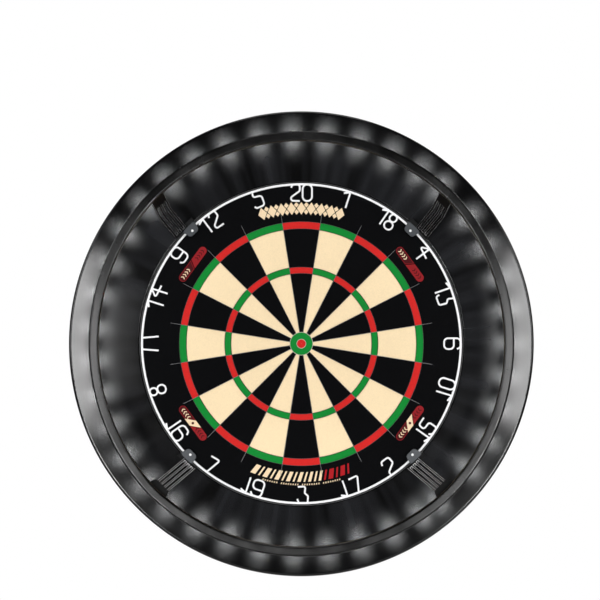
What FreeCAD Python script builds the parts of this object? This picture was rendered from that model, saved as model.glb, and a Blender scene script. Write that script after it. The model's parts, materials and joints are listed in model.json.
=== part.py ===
"""Bristle dartboard on a wall bracket, in a surround, with a magnetic ring light.

Millimetres. X is to the right and Z up as a player sees the board, and the player stands on the -Y side.
The origin is on the wall, on the board's axis, at the centre of the wall bracket's bolt circle.
A depth is a distance from the wall towards the player, and an angle runs clockwise from the top.
"""

import FreeCAD, Part
import math
import os

from FreeCAD import Vector

# Depths of the board, from the wall
BOARD_BACK = 11.0
BACKING_THICKNESS = 12.0
SISAL_THICKNESS = 26.0
DYE_DEPTH = 2.0
CORE_BACK = BOARD_BACK + BACKING_THICKNESS
FACE = CORE_BACK + SISAL_THICKNESS
DYE_BACK = FACE - DYE_DEPTH

# Radii of the board and its scoring rings
SISAL_RADIUS = 224.4
BAND_INNER = 224.5
BAND_OUTER = 225.5
BAND_FRONT = FACE - 0.5
LAP_THICKNESS = 0.3
LAP_HALF_ANGLE = 4.0
LAP_MARGIN = 2.0
DOUBLE_OUTER = 170.0
DOUBLE_INNER = 160.0
TREBLE_OUTER = 106.7
TREBLE_INNER = 97.9
OUTER_BULL = 15.9
BULLSEYE = 6.35
SECTIONS = 20
SECTION_ANGLE = 360.0 / SECTIONS

# Blades that part the sections
BLADE = 0.5
BLADE_SLOT = 0.6
BLADE_BACK = FACE - 10.0
BLADE_FRONT = FACE + 0.4
BLADE_HALF_LAP = (BLADE_BACK + BLADE_FRONT) / 2
BLADE_TIP = 185.0
RING_BLADES = {
    "double_outer_blade": DOUBLE_OUTER,
    "double_inner_blade": DOUBLE_INNER,
    "treble_outer_blade": TREBLE_OUTER,
    "treble_inner_blade": TREBLE_INNER,
}
BULL_BLADES = {"outer_bull_blade": OUTER_BULL, "bullseye_blade": BULLSEYE}

# Number ring: a wire hoop with bent-wire numbers
HOOP_RADIUS = 221.8
HOOP_WIRE = 1.6
NUMBER_WIRE = 1.3
NUMBER_HEIGHT = 22.8
HOOP_DEPTH = FACE + HOOP_WIRE + 0.3
NUMBER_RADIUS = HOOP_RADIUS - 0.4
# number, how far it leans off its section's middle in degrees, distance between its two digits
NUMBERS = (
    ("20", 0.0, 16.5),
    ("1", 0.0, 0.0),
    ("18", -1.2, 11.0),
    ("4", -0.4, 0.0),
    ("13", -1.1, 11.4),
    ("6", 0.0, 0.0),
    ("10", -0.7, 14.0),
    ("15", -1.0, 10.8),
    ("2", 0.3, 0.0),
    ("17", -0.9, 15.3),
    ("3", -0.6, 0.0),
    ("19", 0.7, 14.0),
    ("7", 0.7, 0.0),
    ("16", 1.5, 13.8),
    ("8", 0.0, 0.0),
    ("11", 0.3, 16.0),
    ("14", 0.0, 17.4),
    ("9", 0.0, 0.0),
    ("12", -0.6, 14.0),
    ("5", 1.2, 0.0),
)
# Each digit is one or more wires: points across and up from the digit's foot, corner radius, closed or not.
# A digit on the upper half meets the hoop with its head, and one on the lower half with its foot.
TOP = NUMBER_HEIGHT
ZERO = (((-6.5, 0), (-6.5, TOP), (6.5, TOP), (6.5, 0)), 6.2, True)
SIX = (((7.5, 18), (5, TOP), (-7.5, TOP), (-7.5, 0), (7.5, 0), (7.5, 13.5), (-7.5, 13.5)), 5.5, False)
NINE = (((-8, 4.5), (-5, 0), (7.5, 0), (7.5, TOP), (-7.5, TOP), (-7.5, 9.5), (7.5, 9.5)), 5.5, False)
UPPER_DIGITS = {
    "0": (ZERO,),
    "1": ((((-8.5, 19), (0, TOP), (0, 0)), 1.8, False),),
    "2": ((((-6, 18.5), (-4, TOP), (6, TOP), (6, 14), (-6.5, 5), (-5.5, 0.4), (6, 0)), 3.5, False),),
    "3": ((((4, TOP), (2, 14), (7.5, 11), (6.5, 0), (-6, 0), (-7, 5)), 3.0, False),),
    "4": ((((0, TOP), (0, 0)), 0, False), (((-0.5, TOP), (-10, 14.5), (8, 11.5)), 1.5, False)),
    "5": ((((-4.5, TOP), (-6, 15.5), (6.5, 15), (7, 1), (-5, -0.3), (-7, 2.5)), 4.0, False),),
    "6": (SIX,),
    "8": (
        (((-5, 12.4), (-5, TOP), (5, TOP), (5, 12.4)), 4.8, True),
        (((-6, 0), (-6, 11.6), (6, 11.6), (6, 0)), 5.6, True),
    ),
    "9": (NINE,),
}
LOWER_DIGITS = {
    "0": (ZERO,),
    "1": ((((-8.5, 3.8), (0, 0), (0, TOP)), 1.8, False),),
    "2": ((((-5, 0), (-5.5, 5), (7, 13), (6, TOP), (-6, TOP), (-8, 17.5)), 3.5, False),),
    "3": ((((-8, 5.5), (-6, 0), (6.5, 0), (7, 9.5), (2.5, 13.5), (3.5, TOP), (-7, TOP - 0.5)), 2.5, False),),
    "5": ((((-7, 4.5), (-4, 0), (7, 0), (7, 13), (-5.5, 13.5), (-4, TOP), (8, TOP)), 3.5, False),),
    "6": (SIX,),
    "7": ((((1, 0), (6.5, TOP), (-7, TOP - 1.5)), 2.0, False),),
    "8": (
        (((-5, 0), (-5, 10.4), (5, 10.4), (5, 0)), 4.8, True),
        (((-6, 11.2), (-6, TOP), (6, TOP), (6, 11.2)), 5.6, True),
    ),
    "9": (NINE,),
}
ELEVEN_STROKES = {-1: ((-1, TOP), (-2.5, 0)), 1: ((-1, TOP), (1, 0))}

# Clips that hold the number ring by the outer half of its wire
CLIP_WIDTH = 8.0
CLIP_SHEET = 0.6
CLIP_POST_RADIUS = 223.75
CLIP_LIP_INNER = 221.9
CLIP_SPIKE = 8.0
CLIP_LIP_DEPTH = HOOP_DEPTH + HOOP_WIRE + 0.3

# Surround
SURROUND_INNER = 226.3
SURROUND_OUTER = 323.8
SURROUND_BACK = 14.0
SURROUND_INNER_FRONT = 43.0
DISH_ANGLE = 2.74
SKIN = 2.5
SURROUND_INNER_ROUND = 1.5
SURROUND_OUTER_ROUND = 6.0
CORE_BLOCKS = 16
CORE_BLOCK_GAP = 1.0
DISH_SLOPE = math.tan(math.radians(DISH_ANGLE))
SURROUND_OUTER_FRONT = SURROUND_INNER_FRONT + DISH_SLOPE * (SURROUND_OUTER - SURROUND_INNER)

# Ring light: four arcs, each struck from a centre a little behind the board's axis
LIGHT_RADIUS = 280.8
LIGHT_CENTRE_SHIFT = 10.0
LIGHT_WIDTH = 13.2
LIGHT_BACK = FACE + 167.0
LIGHT_FRONT = LIGHT_BACK + 16.0
LIGHT_WALL = 1.5
LIGHT_CORNER = 3.0
COVER_SEAM = 0.15
LED_BOARD_SEAM = 2.0
LED_COUNT = 39
LED_FIRST_ANGLE = 357.5
LED_SIZE = 5.0
LED_HEIGHT = 1.3
LED_BOARD_WIDTH = 10.0
LED_BOARD_BACK = LIGHT_BACK + 1.5
LED_BOARD_THICKNESS = 1.2
SEGMENTS = {"top": 0.0, "right": 90.0, "bottom": 180.0, "left": 270.0}

# Legs and feet of the ring light, on the right side: the left side is their mirror image
LEG_WIDTH = 21.2
LEG_THICKNESS = 4.0
LEG_SLOT = 3.2
LEG_RIB_PITCH = 6.0
LEG_BASE_RADIUS = 229.2
LEG_END_RADIUS = 281.0
LEG_BASE_DEPTH = FACE + 5.0
LEG_END_DEPTH = LIGHT_BACK - 4.0
LEG_BEND = 0.6
LEG_OVERRUN = 12.0
JOINER_MARGIN = 1.0
JOINER_REACH = 9.0
# Angles of the foot tab and of the leg's two ends, how far the leg bends sideways, where its slots begin and
# end as shares of its length, and how much wider than the leg its joiner is on each side
LEGS = {
    "upper": {"tab": 44.0, "base": 47.2, "end": 44.4, "bend": 3.6, "slots": (0.03, 0.80), "flare": 0.0},
    "lower": {"tab": 135.0, "base": 137.0, "end": 135.5, "bend": 0.0, "slots": (0.03, 0.93), "flare": 5.0},
}
SIDES = {"right": 1, "left": -1}

HOLDER_INNER = 226.0
HOLDER_OUTER = 232.5
HOLDER_BACK = 38.0
HOLDER_FRONT = LEG_BASE_DEPTH
HOLDER_MARGIN = 2.9
NOTCH_CLEARANCE = 0.6
MAGNET_WIDTH = 14.0
MAGNET_THICKNESS = 2.5
MAGNET_FACE = 225.9
MAGNET_BACK = HOLDER_BACK + 2.0
MAGNET_HEIGHT = 8.0
TAB_INNER = 213.1
TAB_OUTER = 225.7
TAB_BACK = CLIP_LIP_DEPTH + CLIP_SHEET + 0.5
TAB_FRONT = TAB_BACK + 3.0
TAB_OUTER_WIDTH = 21.8
TAB_INNER_WIDTH = 13.0
TAB_PIN_RADIUS = 1.75
TAB_PIN_AT = 218.3
TAB_PIN_DOME = 2.4
TAB_PIN_HEIGHT = 0.8
TAB_EDGE_ROUND = 1.0
TAB_END_ROUND = 5.0
TAB_NECK_HALF_ANGLE = 2.2
TAB_NECK_OUTER = HOLDER_INNER + 0.8

# Wall bracket and the screw that hangs in it
BRACKET_SHEET = 2.0
BRACKET_PLATE_FRONT = 10.0
BRACKET_PLATE_RADIUS = 30.0
BRACKET_SLOT = 3.8
SKIRT_OVERLAP = 0.5
EAR_ANGLES = (60.0, 180.0, 300.0)
EAR_WIDTH = 16.0
BOLT_CIRCLE_RADIUS = 40.0
BOLT_HOLE = 2.5
SCREW_SHANK = 3.5
SCREW_HEAD = 6.0
SCREW_HEAD_BACK = 2.6
SCREW_HEAD_FRONT = 6.0
DRIVE_WIDTH = 1.6
DRIVE_DEPTH = 1.2
SCREW_END = BOARD_BACK + 10.0
WASHER_RADIUS = 9.0
WASHER_FRONT = 7.4
INSERT_BORE = SCREW_SHANK + 0.05
INSERT_RADIUS = 6.0

# Levelling wheels on the board's back
WHEEL_ANGLES = (0.0, 120.0, 240.0)
WHEEL_AT = 165.0
WHEEL_RADIUS = 15.0
WHEEL_GRIPS = 12
GRIP_RADIUS = 2.2
WHEEL_BASE_RADIUS = 12.0
WHEEL_BASE_THICKNESS = 1.5
HUB_RADIUS = 6.0
STEM_RADIUS = 4.0
RUNNING_GAP = 0.08
WHEEL_BACK = 5.6
WHEEL_FRONT = 9.2
PAD_RADIUS = 8.0
PAD_BACK = 3.0
PAD_FRONT = 5.2

# Power inlet on the back of the ring light's bottom arc
INLET_ANGLE = 177.5
INLET_WIDTH = 11.0
INLET_LENGTH = 10.0
INLET_BORE = 2.9
INLET_PIN = 1.0
INLET_FLOOR = 1.5
INLET_PIN_RECESS = 4.3

TO_PLAYER = Vector(0, -1, 0)
TURN_AXIS = Vector(0, 1, 0)
TINY = 1e-4


def at(radius, angle, depth):
    """A point at a radius and clockwise angle about the board's axis."""
    turn = math.radians(angle)
    return Vector(radius * math.sin(turn), -depth, radius * math.cos(turn))


def disc(radius, back, front, centre=Vector()):
    """A cylinder along the board's axis, from one depth to another."""
    return Part.makeCylinder(radius, front - back, centre + Vector(0, -back, 0), TO_PLAYER)


def ring(inner, outer, back, front, centre=Vector()):
    """A plain ring about the board's axis."""
    return disc(outer, back, front, centre).cut(disc(inner, back - 1, front + 1, centre))


def block(width, bottom, top, back, front):
    """A box at the top of the board, centred across, from one radius to another."""
    return Part.makeBox(width, front - back, top - bottom, Vector(-width / 2, -front, bottom))


def turned(shape, angle):
    """A copy of a shape, turned clockwise about the board's axis."""
    copy = shape.copy()
    copy.rotate(Vector(), TURN_AXIS, angle)
    return copy


def fused(shapes):
    """One solid from touching or overlapping shapes."""
    return shapes[0].multiFuse(shapes[1:]).removeSplitter()


def corner_stop(before, corner, after, radius):
    """Start, middle and end of the arc that rounds a corner, kept within its two runs."""
    back = before - corner
    ahead = after - corner
    shorter = min(back.Length, ahead.Length)
    half_angle = back.getAngle(ahead) / 2
    reach = min(radius / math.tan(half_angle), 0.48 * shorter)
    arc_radius = reach * math.tan(half_angle)
    back.normalize()
    ahead.normalize()
    bisector = (back + ahead).normalize()
    to_middle = arc_radius / math.sin(half_angle) - arc_radius
    return corner + back * reach, corner + bisector * to_middle, corner + ahead * reach


def rounded_wire(points, radii, closed):
    """Straight runs through points, with each corner rounded to its own radius."""
    count = len(points)
    stops = []
    for i, point in enumerate(points):
        is_end = not closed and i in (0, count - 1)
        if is_end or radii[i] == 0:
            stops.append((point, None, point))
        else:
            stops.append(corner_stop(points[i - 1], point, points[(i + 1) % count], radii[i]))
    edges = []
    for i, (start, middle, end) in enumerate(stops):
        if middle is not None:
            edges.append(Part.Arc(start, middle, end).toShape())
        following = stops[(i + 1) % count][0]
        is_last = not closed and i == count - 1
        if not is_last and (following - end).Length > TINY:
            edges.append(Part.LineSegment(end, following).toShape())
    return Part.Wire(edges)


def revolved(outline, radii=None):
    """A ring about the board's axis from an outline of (radius, depth) points."""
    points = [Vector(radius, -depth, 0) for radius, depth in outline]
    wire = rounded_wire(points, radii or [0] * len(points), True)
    return Part.Face(wire).revolve(Vector(), TURN_AXIS, 360)


def sector(inner, outer, half_angle, back, front, middle, gap=0.0):
    """Part of a ring, with its straight sides set in by a gap from the true radial lines."""
    reach = math.radians(half_angle)
    corners = {}
    for radius in (inner, outer):
        corners[radius] = math.degrees(reach - math.asin(gap / radius))
    inner_angle, outer_angle = corners[inner], corners[outer]
    edges = [
        Part.Arc(at(inner, -inner_angle, back), at(inner, 0, back), at(inner, inner_angle, back)).toShape(),
        Part.LineSegment(at(inner, inner_angle, back), at(outer, outer_angle, back)).toShape(),
        Part.Arc(at(outer, outer_angle, back), at(outer, 0, back), at(outer, -outer_angle, back)).toShape(),
        Part.LineSegment(at(outer, -outer_angle, back), at(inner, -inner_angle, back)).toShape(),
    ]
    face = Part.Face(Part.Wire(edges))
    return turned(face.extrude(TO_PLAYER * (front - back)), middle)


# The board


def wall_bracket():
    """Pressed plate with an upward-open slot, on three ears screwed to the wall."""
    plate_back = BRACKET_PLATE_FRONT - BRACKET_SHEET
    pieces = [disc(BRACKET_PLATE_RADIUS, plate_back, BRACKET_PLATE_FRONT)]
    inner = BRACKET_PLATE_RADIUS - BRACKET_SHEET - SKIRT_OVERLAP
    for angle in EAR_ANGLES:
        skirt = block(EAR_WIDTH, inner, BRACKET_PLATE_RADIUS, 0, BRACKET_PLATE_FRONT)
        ear = block(EAR_WIDTH, inner, BOLT_CIRCLE_RADIUS, 0, BRACKET_SHEET)
        ear_end = disc(EAR_WIDTH / 2, 0, BRACKET_SHEET, Vector(0, 0, BOLT_CIRCLE_RADIUS))
        pieces += [turned(piece, angle) for piece in (skirt, ear, ear_end)]
    bracket = fused(pieces)
    cutters = [
        disc(BRACKET_SLOT, 0, BRACKET_PLATE_FRONT + 1),
        block(2 * BRACKET_SLOT, 0, BRACKET_PLATE_RADIUS + 1, 0, BRACKET_PLATE_FRONT + 1),
    ]
    for angle in EAR_ANGLES:
        cutters.append(disc(BOLT_HOLE, -1, BRACKET_SHEET + 1, at(BOLT_CIRCLE_RADIUS, angle, 0)))
    return bracket.cut(cutters)


def centre_screw():
    head = disc(SCREW_HEAD, SCREW_HEAD_BACK, SCREW_HEAD_FRONT)
    drive = block(
        DRIVE_WIDTH, -SCREW_HEAD - 1, SCREW_HEAD + 1, SCREW_HEAD_BACK - 1, SCREW_HEAD_BACK + DRIVE_DEPTH
    )
    shank = disc(SCREW_SHANK, SCREW_HEAD_FRONT, SCREW_END)
    return fused([head.cut(drive), shank])


def centre_washer():
    return ring(SCREW_SHANK + 0.1, WASHER_RADIUS, SCREW_HEAD_FRONT, WASHER_FRONT)


def centre_insert():
    """Bush in the backing board that turns on the screw's shank."""
    return ring(INSERT_BORE, INSERT_RADIUS, BOARD_BACK, SCREW_END)


def backing_board():
    pocket = disc(INSERT_RADIUS, BOARD_BACK - 1, SCREW_END)
    return disc(SISAL_RADIUS, BOARD_BACK, CORE_BACK).cut(pocket)


def steel_band():
    """Rolled band round the rim, with its lap joint at the foot."""
    band = ring(BAND_INNER, BAND_OUTER, BOARD_BACK, BAND_FRONT)
    lap_back = BOARD_BACK + LAP_MARGIN
    lap_front = BAND_FRONT - LAP_MARGIN
    lap = sector(BAND_OUTER, BAND_OUTER + LAP_THICKNESS, LAP_HALF_ANGLE, lap_back, lap_front, 180)
    return fused([band, lap])


def blade_slots():
    """Every slot that the blades sink into."""
    front = FACE + 1
    slots = []
    for i in range(SECTIONS):
        slot = block(BLADE_SLOT, OUTER_BULL, BLADE_TIP, BLADE_BACK, front)
        slots.append(turned(slot, (i + 0.5) * SECTION_ANGLE))
    for radius in list(RING_BLADES.values()) + list(BULL_BLADES.values()):
        slots.append(ring(radius - BLADE_SLOT / 2, radius + BLADE_SLOT / 2, BLADE_BACK, front))
    return slots


def sisal_body():
    """Undyed bristle disc, slotted for the blades."""
    return disc(SISAL_RADIUS, CORE_BACK, DYE_BACK).cut(blade_slots())


def sisal_outer_field():
    field = ring(DOUBLE_OUTER + BLADE_SLOT / 2, SISAL_RADIUS, DYE_BACK, FACE)
    tails = []
    for i in range(SECTIONS):
        tail = block(BLADE_SLOT, DOUBLE_OUTER - 1, BLADE_TIP, DYE_BACK - 1, FACE + 1)
        tails.append(turned(tail, (i + 0.5) * SECTION_ANGLE))
    return field.cut(tails)


def dyed_sections(inner, outer, first):
    """Every other section of a scoring ring, from the first."""
    gap = BLADE_SLOT / 2
    solids = []
    for i in range(first, SECTIONS, 2):
        solids.append(
            sector(inner + gap, outer - gap, SECTION_ANGLE / 2, DYE_BACK, FACE, i * SECTION_ANGLE, gap)
        )
    return solids


def single_beds(first):
    inner_beds = dyed_sections(OUTER_BULL, TREBLE_INNER, first)
    outer_beds = dyed_sections(TREBLE_OUTER, DOUBLE_INNER, first)
    return Part.makeCompound(inner_beds + outer_beds)


def scoring_beds(first):
    trebles = dyed_sections(TREBLE_INNER, TREBLE_OUTER, first)
    doubles = dyed_sections(DOUBLE_INNER, DOUBLE_OUTER, first)
    return Part.makeCompound(trebles + doubles)


def outer_bull():
    gap = BLADE_SLOT / 2
    return ring(BULLSEYE + gap, OUTER_BULL - gap, DYE_BACK, FACE)


def bullseye():
    return disc(BULLSEYE - BLADE_SLOT / 2, DYE_BACK, FACE)


def radial_blades():
    """Twenty blades from the outer bull to past the doubles, notched behind where the rings cross."""
    outline = [(OUTER_BULL + BLADE / 2, BLADE_BACK)]
    for radius in sorted(RING_BLADES.values()):
        low = radius - BLADE_SLOT / 2
        high = radius + BLADE_SLOT / 2
        outline += [(low, BLADE_BACK), (low, BLADE_HALF_LAP), (high, BLADE_HALF_LAP), (high, BLADE_BACK)]
    outline += [(BLADE_TIP - 0.5, BLADE_BACK), (BLADE_TIP - 0.5, BLADE_FRONT)]
    outline.append((OUTER_BULL + BLADE / 2, BLADE_FRONT))
    points = [Vector(-BLADE / 2, -depth, radius) for radius, depth in outline]
    blade = Part.Face(Part.makePolygon(points + points[:1])).extrude(Vector(BLADE, 0, 0))
    return Part.makeCompound([turned(blade, (i + 0.5) * SECTION_ANGLE) for i in range(SECTIONS)])


def ring_blade(radius):
    """Circular blade, notched in front where the radial blades cross."""
    blade = ring(radius - BLADE / 2, radius + BLADE / 2, BLADE_BACK, BLADE_FRONT)
    notches = []
    for i in range(SECTIONS):
        notch = block(BLADE_SLOT, radius - 2, radius + 2, BLADE_HALF_LAP, BLADE_FRONT + 1)
        notches.append(turned(notch, (i + 0.5) * SECTION_ANGLE))
    return blade.cut(notches)


def bull_blade(radius):
    return ring(radius - BLADE / 2, radius + BLADE / 2, BLADE_BACK, BLADE_FRONT)


# The number ring


def bent_wire(points, corner_radius, closed, wire_radius):
    """Round wire bent along straight runs with rounded corners."""
    path = rounded_wire(points, [corner_radius] * len(points), closed)
    first = path.OrderedEdges[0]
    start = first.valueAt(first.FirstParameter)
    along = first.tangentAt(first.FirstParameter)
    section = Part.Wire([Part.Circle(start, along, wire_radius).toShape()])
    return path.makePipeShell([section], True, False)


def digit_wires(digit, angle, offset):
    """One digit's wires, standing on the hoop, with its head outwards on the board's upper half."""
    lower = 90.5 < angle < 269.5
    strokes = (LOWER_DIGITS if lower else UPPER_DIGITS)[digit]
    return [digit_wire(stroke, angle, offset, lower) for stroke in strokes]


def digit_wire(stroke, angle, offset, lower):
    outline, corner_radius, closed = stroke
    side = -1 if lower else 1
    foot = 0 if lower else NUMBER_HEIGHT
    points = []
    for across, up in outline:
        height = NUMBER_RADIUS + side * (up - foot)
        points.append(Vector(side * (across + offset), -HOOP_DEPTH, height))
    return turned(bent_wire(points, corner_radius, closed, NUMBER_WIRE), angle)


def number_ring():
    """Hoop and numbers, welded into one piece."""
    hoop = Part.makeTorus(HOOP_RADIUS, HOOP_WIRE, Vector(0, -HOOP_DEPTH, 0), TO_PLAYER)
    wires = []
    for i, (number, lean, spacing) in enumerate(NUMBERS):
        angle = i * SECTION_ANGLE + lean
        for place, digit in enumerate(number):
            side = 2 * place - 1
            offset = side * spacing / 2
            if number == "11":
                stroke = (ELEVEN_STROKES[side], 0, False)
                wires.append(digit_wire(stroke, angle, offset, False))
            else:
                wires += digit_wires(digit, angle, offset)
    return hoop.multiFuse(wires)


def ring_clips():
    """Spring clips pinned in the sisal, each with a lip over the hoop's outer half."""
    post = block(
        CLIP_WIDTH, CLIP_POST_RADIUS, CLIP_POST_RADIUS + CLIP_SHEET, FACE - CLIP_SPIKE, CLIP_LIP_DEPTH
    )
    lip = block(
        CLIP_WIDTH, CLIP_LIP_INNER, CLIP_POST_RADIUS + CLIP_SHEET, CLIP_LIP_DEPTH, CLIP_LIP_DEPTH + CLIP_SHEET
    )
    clip = fused([post, lip])
    return Part.makeCompound([turned(clip, angle) for angle in foot_angles()])


# Levelling wheels


def wheel_centre(angle):
    return at(WHEEL_AT, angle, 0)


def levelling_bases():
    bases = []
    front = BOARD_BACK - WHEEL_BASE_THICKNESS
    for angle in WHEEL_ANGLES:
        centre = wheel_centre(angle)
        plate = disc(WHEEL_BASE_RADIUS, front, BOARD_BACK, centre)
        hub = disc(HUB_RADIUS, PAD_FRONT + 0.2, front, centre)
        bore = disc(STEM_RADIUS + RUNNING_GAP, 0, BOARD_BACK + 1, centre)
        bases.append(fused([plate, hub]).cut(bore))
    return Part.makeCompound(bases)


def levelling_wheel(angle):
    """Thumb wheel with a scalloped rim, which turns on its base's hub."""
    centre = wheel_centre(angle)
    wheel = ring(HUB_RADIUS + RUNNING_GAP, WHEEL_RADIUS, WHEEL_BACK, WHEEL_FRONT, centre)
    grips = []
    for i in range(WHEEL_GRIPS):
        place = centre + at(WHEEL_RADIUS + GRIP_RADIUS / 2, i * 360 / WHEEL_GRIPS, 0)
        grips.append(disc(GRIP_RADIUS, 0, BOARD_BACK, place))
    return wheel.cut(grips)


def levelling_foot(angle):
    """Stem and pad that the wheel drives out to the wall."""
    centre = wheel_centre(angle)
    stem = disc(STEM_RADIUS, PAD_FRONT, BOARD_BACK - 0.5, centre)
    pad = disc(PAD_RADIUS, PAD_BACK, PAD_FRONT, centre)
    return fused([pad, stem])


# The surround


def foot_span(leg):
    """First and last angle that a foot's holder covers on the rim."""
    return LEGS[leg]["tab"] - HOLDER_MARGIN, LEGS[leg]["base"] + HOLDER_MARGIN


def foot_notches():
    notches = []
    extra = math.degrees(NOTCH_CLEARANCE / HOLDER_OUTER)
    for leg in LEGS:
        first, last = foot_span(leg)
        for side in SIDES.values():
            notches.append(
                sector(
                    SURROUND_INNER - 1.5,
                    HOLDER_OUTER + NOTCH_CLEARANCE,
                    (last - first) / 2 + extra,
                    HOLDER_BACK - NOTCH_CLEARANCE,
                    FACE + 10,
                    side * (first + last) / 2,
                )
            )
    return notches


def surround_skin():
    """Glossy skin over the front, the rim and the bore, open at the back."""
    outline = [
        (SURROUND_INNER, SURROUND_BACK),
        (SURROUND_INNER, SURROUND_INNER_FRONT),
        (SURROUND_OUTER, SURROUND_OUTER_FRONT),
        (SURROUND_OUTER, SURROUND_BACK),
        (SURROUND_OUTER - SKIN, SURROUND_BACK),
        (SURROUND_OUTER - SKIN, SURROUND_OUTER_FRONT - SKIN - SKIN * DISH_SLOPE),
        (SURROUND_INNER + SKIN, SURROUND_INNER_FRONT - SKIN + SKIN * DISH_SLOPE),
        (SURROUND_INNER + SKIN, SURROUND_BACK),
    ]
    outer_inside = SURROUND_OUTER_ROUND - SKIN
    radii = [0, SURROUND_INNER_ROUND, SURROUND_OUTER_ROUND, 0, 0, outer_inside, 0, 0]
    return revolved(outline, radii).cut(foot_notches())


def surround_core():
    """Ring of foam blocks inside the skin, a small gap apart."""
    gap = SKIN + 0.05
    outline = [
        (SURROUND_INNER + gap, SURROUND_BACK),
        (SURROUND_INNER + gap, SURROUND_INNER_FRONT - gap + gap * DISH_SLOPE),
        (SURROUND_OUTER - gap, SURROUND_OUTER_FRONT - gap - gap * DISH_SLOPE),
        (SURROUND_OUTER - gap, SURROUND_BACK),
    ]
    outer_inside = SURROUND_OUTER_ROUND - SKIN
    full = revolved(outline, [0, 0, outer_inside, 0]).cut(foot_notches())
    between = block(CORE_BLOCK_GAP, SURROUND_INNER, SURROUND_OUTER, 0, FACE + 1)
    return full.cut([turned(between, (i + 0.5) * 360 / CORE_BLOCKS) for i in range(CORE_BLOCKS)])


# The ring light


def arc_radius_at(angle):
    """Radius of the ring light's middle line, which is largest at the four corners."""
    off_middle = math.radians((angle + 45) % 90 - 45)
    arc = LIGHT_RADIUS + LIGHT_CENTRE_SHIFT
    across = LIGHT_CENTRE_SHIFT * math.sin(off_middle)
    return math.sqrt(arc**2 - across**2) - LIGHT_CENTRE_SHIFT * math.cos(off_middle)


def light_arc(outline, radii, angle, seam):
    """One quarter of the ring light, from its section: offsets from the middle line, and depths."""
    arc = LIGHT_RADIUS + LIGHT_CENTRE_SHIFT
    full = revolved([(arc + offset, depth) for offset, depth in outline], radii)
    full.translate(Vector(0, 0, -LIGHT_CENTRE_SHIFT))
    reach = 2 * LIGHT_RADIUS
    set_in = seam * math.sqrt(2)
    corners = [Vector(0, 0, set_in), Vector(reach, 0, reach + set_in), Vector(-reach, 0, reach + set_in)]
    wedge = Part.Face(Part.makePolygon(corners + corners[:1])).extrude(TO_PLAYER * (LIGHT_FRONT + 1))
    return turned(full.common(wedge), angle)


def light_cover(angle):
    """Channel open to the board, with rounded front edges."""
    half = LIGHT_WIDTH / 2
    inner = half - LIGHT_WALL
    floor = LIGHT_FRONT - LIGHT_WALL
    outline = [
        (-half, LIGHT_BACK),
        (-half, LIGHT_FRONT),
        (half, LIGHT_FRONT),
        (half, LIGHT_BACK),
        (inner, LIGHT_BACK),
        (inner, floor),
        (-inner, floor),
        (-inner, LIGHT_BACK),
    ]
    inside = LIGHT_CORNER - LIGHT_WALL
    radii = [0, LIGHT_CORNER, LIGHT_CORNER, 0, 0, inside, inside, 0]
    return light_arc(outline, radii, angle, COVER_SEAM)


def led_board(angle):
    half = LED_BOARD_WIDTH / 2
    front = LED_BOARD_BACK + LED_BOARD_THICKNESS
    outline = [(-half, LED_BOARD_BACK), (-half, front), (half, front), (half, LED_BOARD_BACK)]
    return light_arc(outline, None, angle, LED_BOARD_SEAM)


def led_angles():
    """Evenly spaced lamps, with those that a leg's end or its joiner would cover moved just clear of it."""
    angles = []
    for i in range(LED_COUNT):
        angle = LED_FIRST_ANGLE + i * 360 / LED_COUNT
        for leg in LEGS.values():
            clear = LEG_WIDTH / 2 + JOINER_MARGIN + leg["flare"] + LED_SIZE / 2
            clear = math.degrees(clear / LIGHT_RADIUS)
            for side in SIDES.values():
                off = (angle - side * leg["end"] + 180) % 360 - 180
                if abs(off) < clear:
                    angle += math.copysign(clear, off) - off
        angles.append(angle)
    return angles


def led_chips():
    chips = []
    for angle in led_angles():
        low = arc_radius_at(angle) - LED_SIZE / 2
        chip = block(LED_SIZE, low, low + LED_SIZE, LED_BOARD_BACK - LED_HEIGHT, LED_BOARD_BACK)
        chips.append(turned(chip, angle))
    return Part.makeCompound(chips)


def corner_joiners():
    """Plates behind the ring's corners that carry the legs' ends."""
    joiners = []
    radius = arc_radius_at(45)
    for leg in LEGS.values():
        half = LEG_WIDTH / 2 + JOINER_MARGIN
        widest = half + leg["flare"]
        inner = LEG_END_RADIUS - LEG_THICKNESS
        if leg["flare"]:
            inner -= JOINER_REACH
        shoulder = radius - LIGHT_WIDTH / 2 + LIGHT_WALL
        outer = radius + LIGHT_WIDTH / 2 - JOINER_MARGIN
        outline = [(-half, inner), (half, inner), (widest, shoulder), (widest, outer)]
        outline += [(-widest, outer), (-widest, shoulder)]
        points = [Vector(across, -LEG_END_DEPTH, up) for across, up in outline]
        face = Part.Face(Part.makePolygon(points + points[:1]))
        plate = face.extrude(TO_PLAYER * (LIGHT_BACK - LEG_END_DEPTH))
        joiners += [turned(plate, side * leg["end"]) for side in SIDES.values()]
    return Part.makeCompound(joiners)


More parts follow.
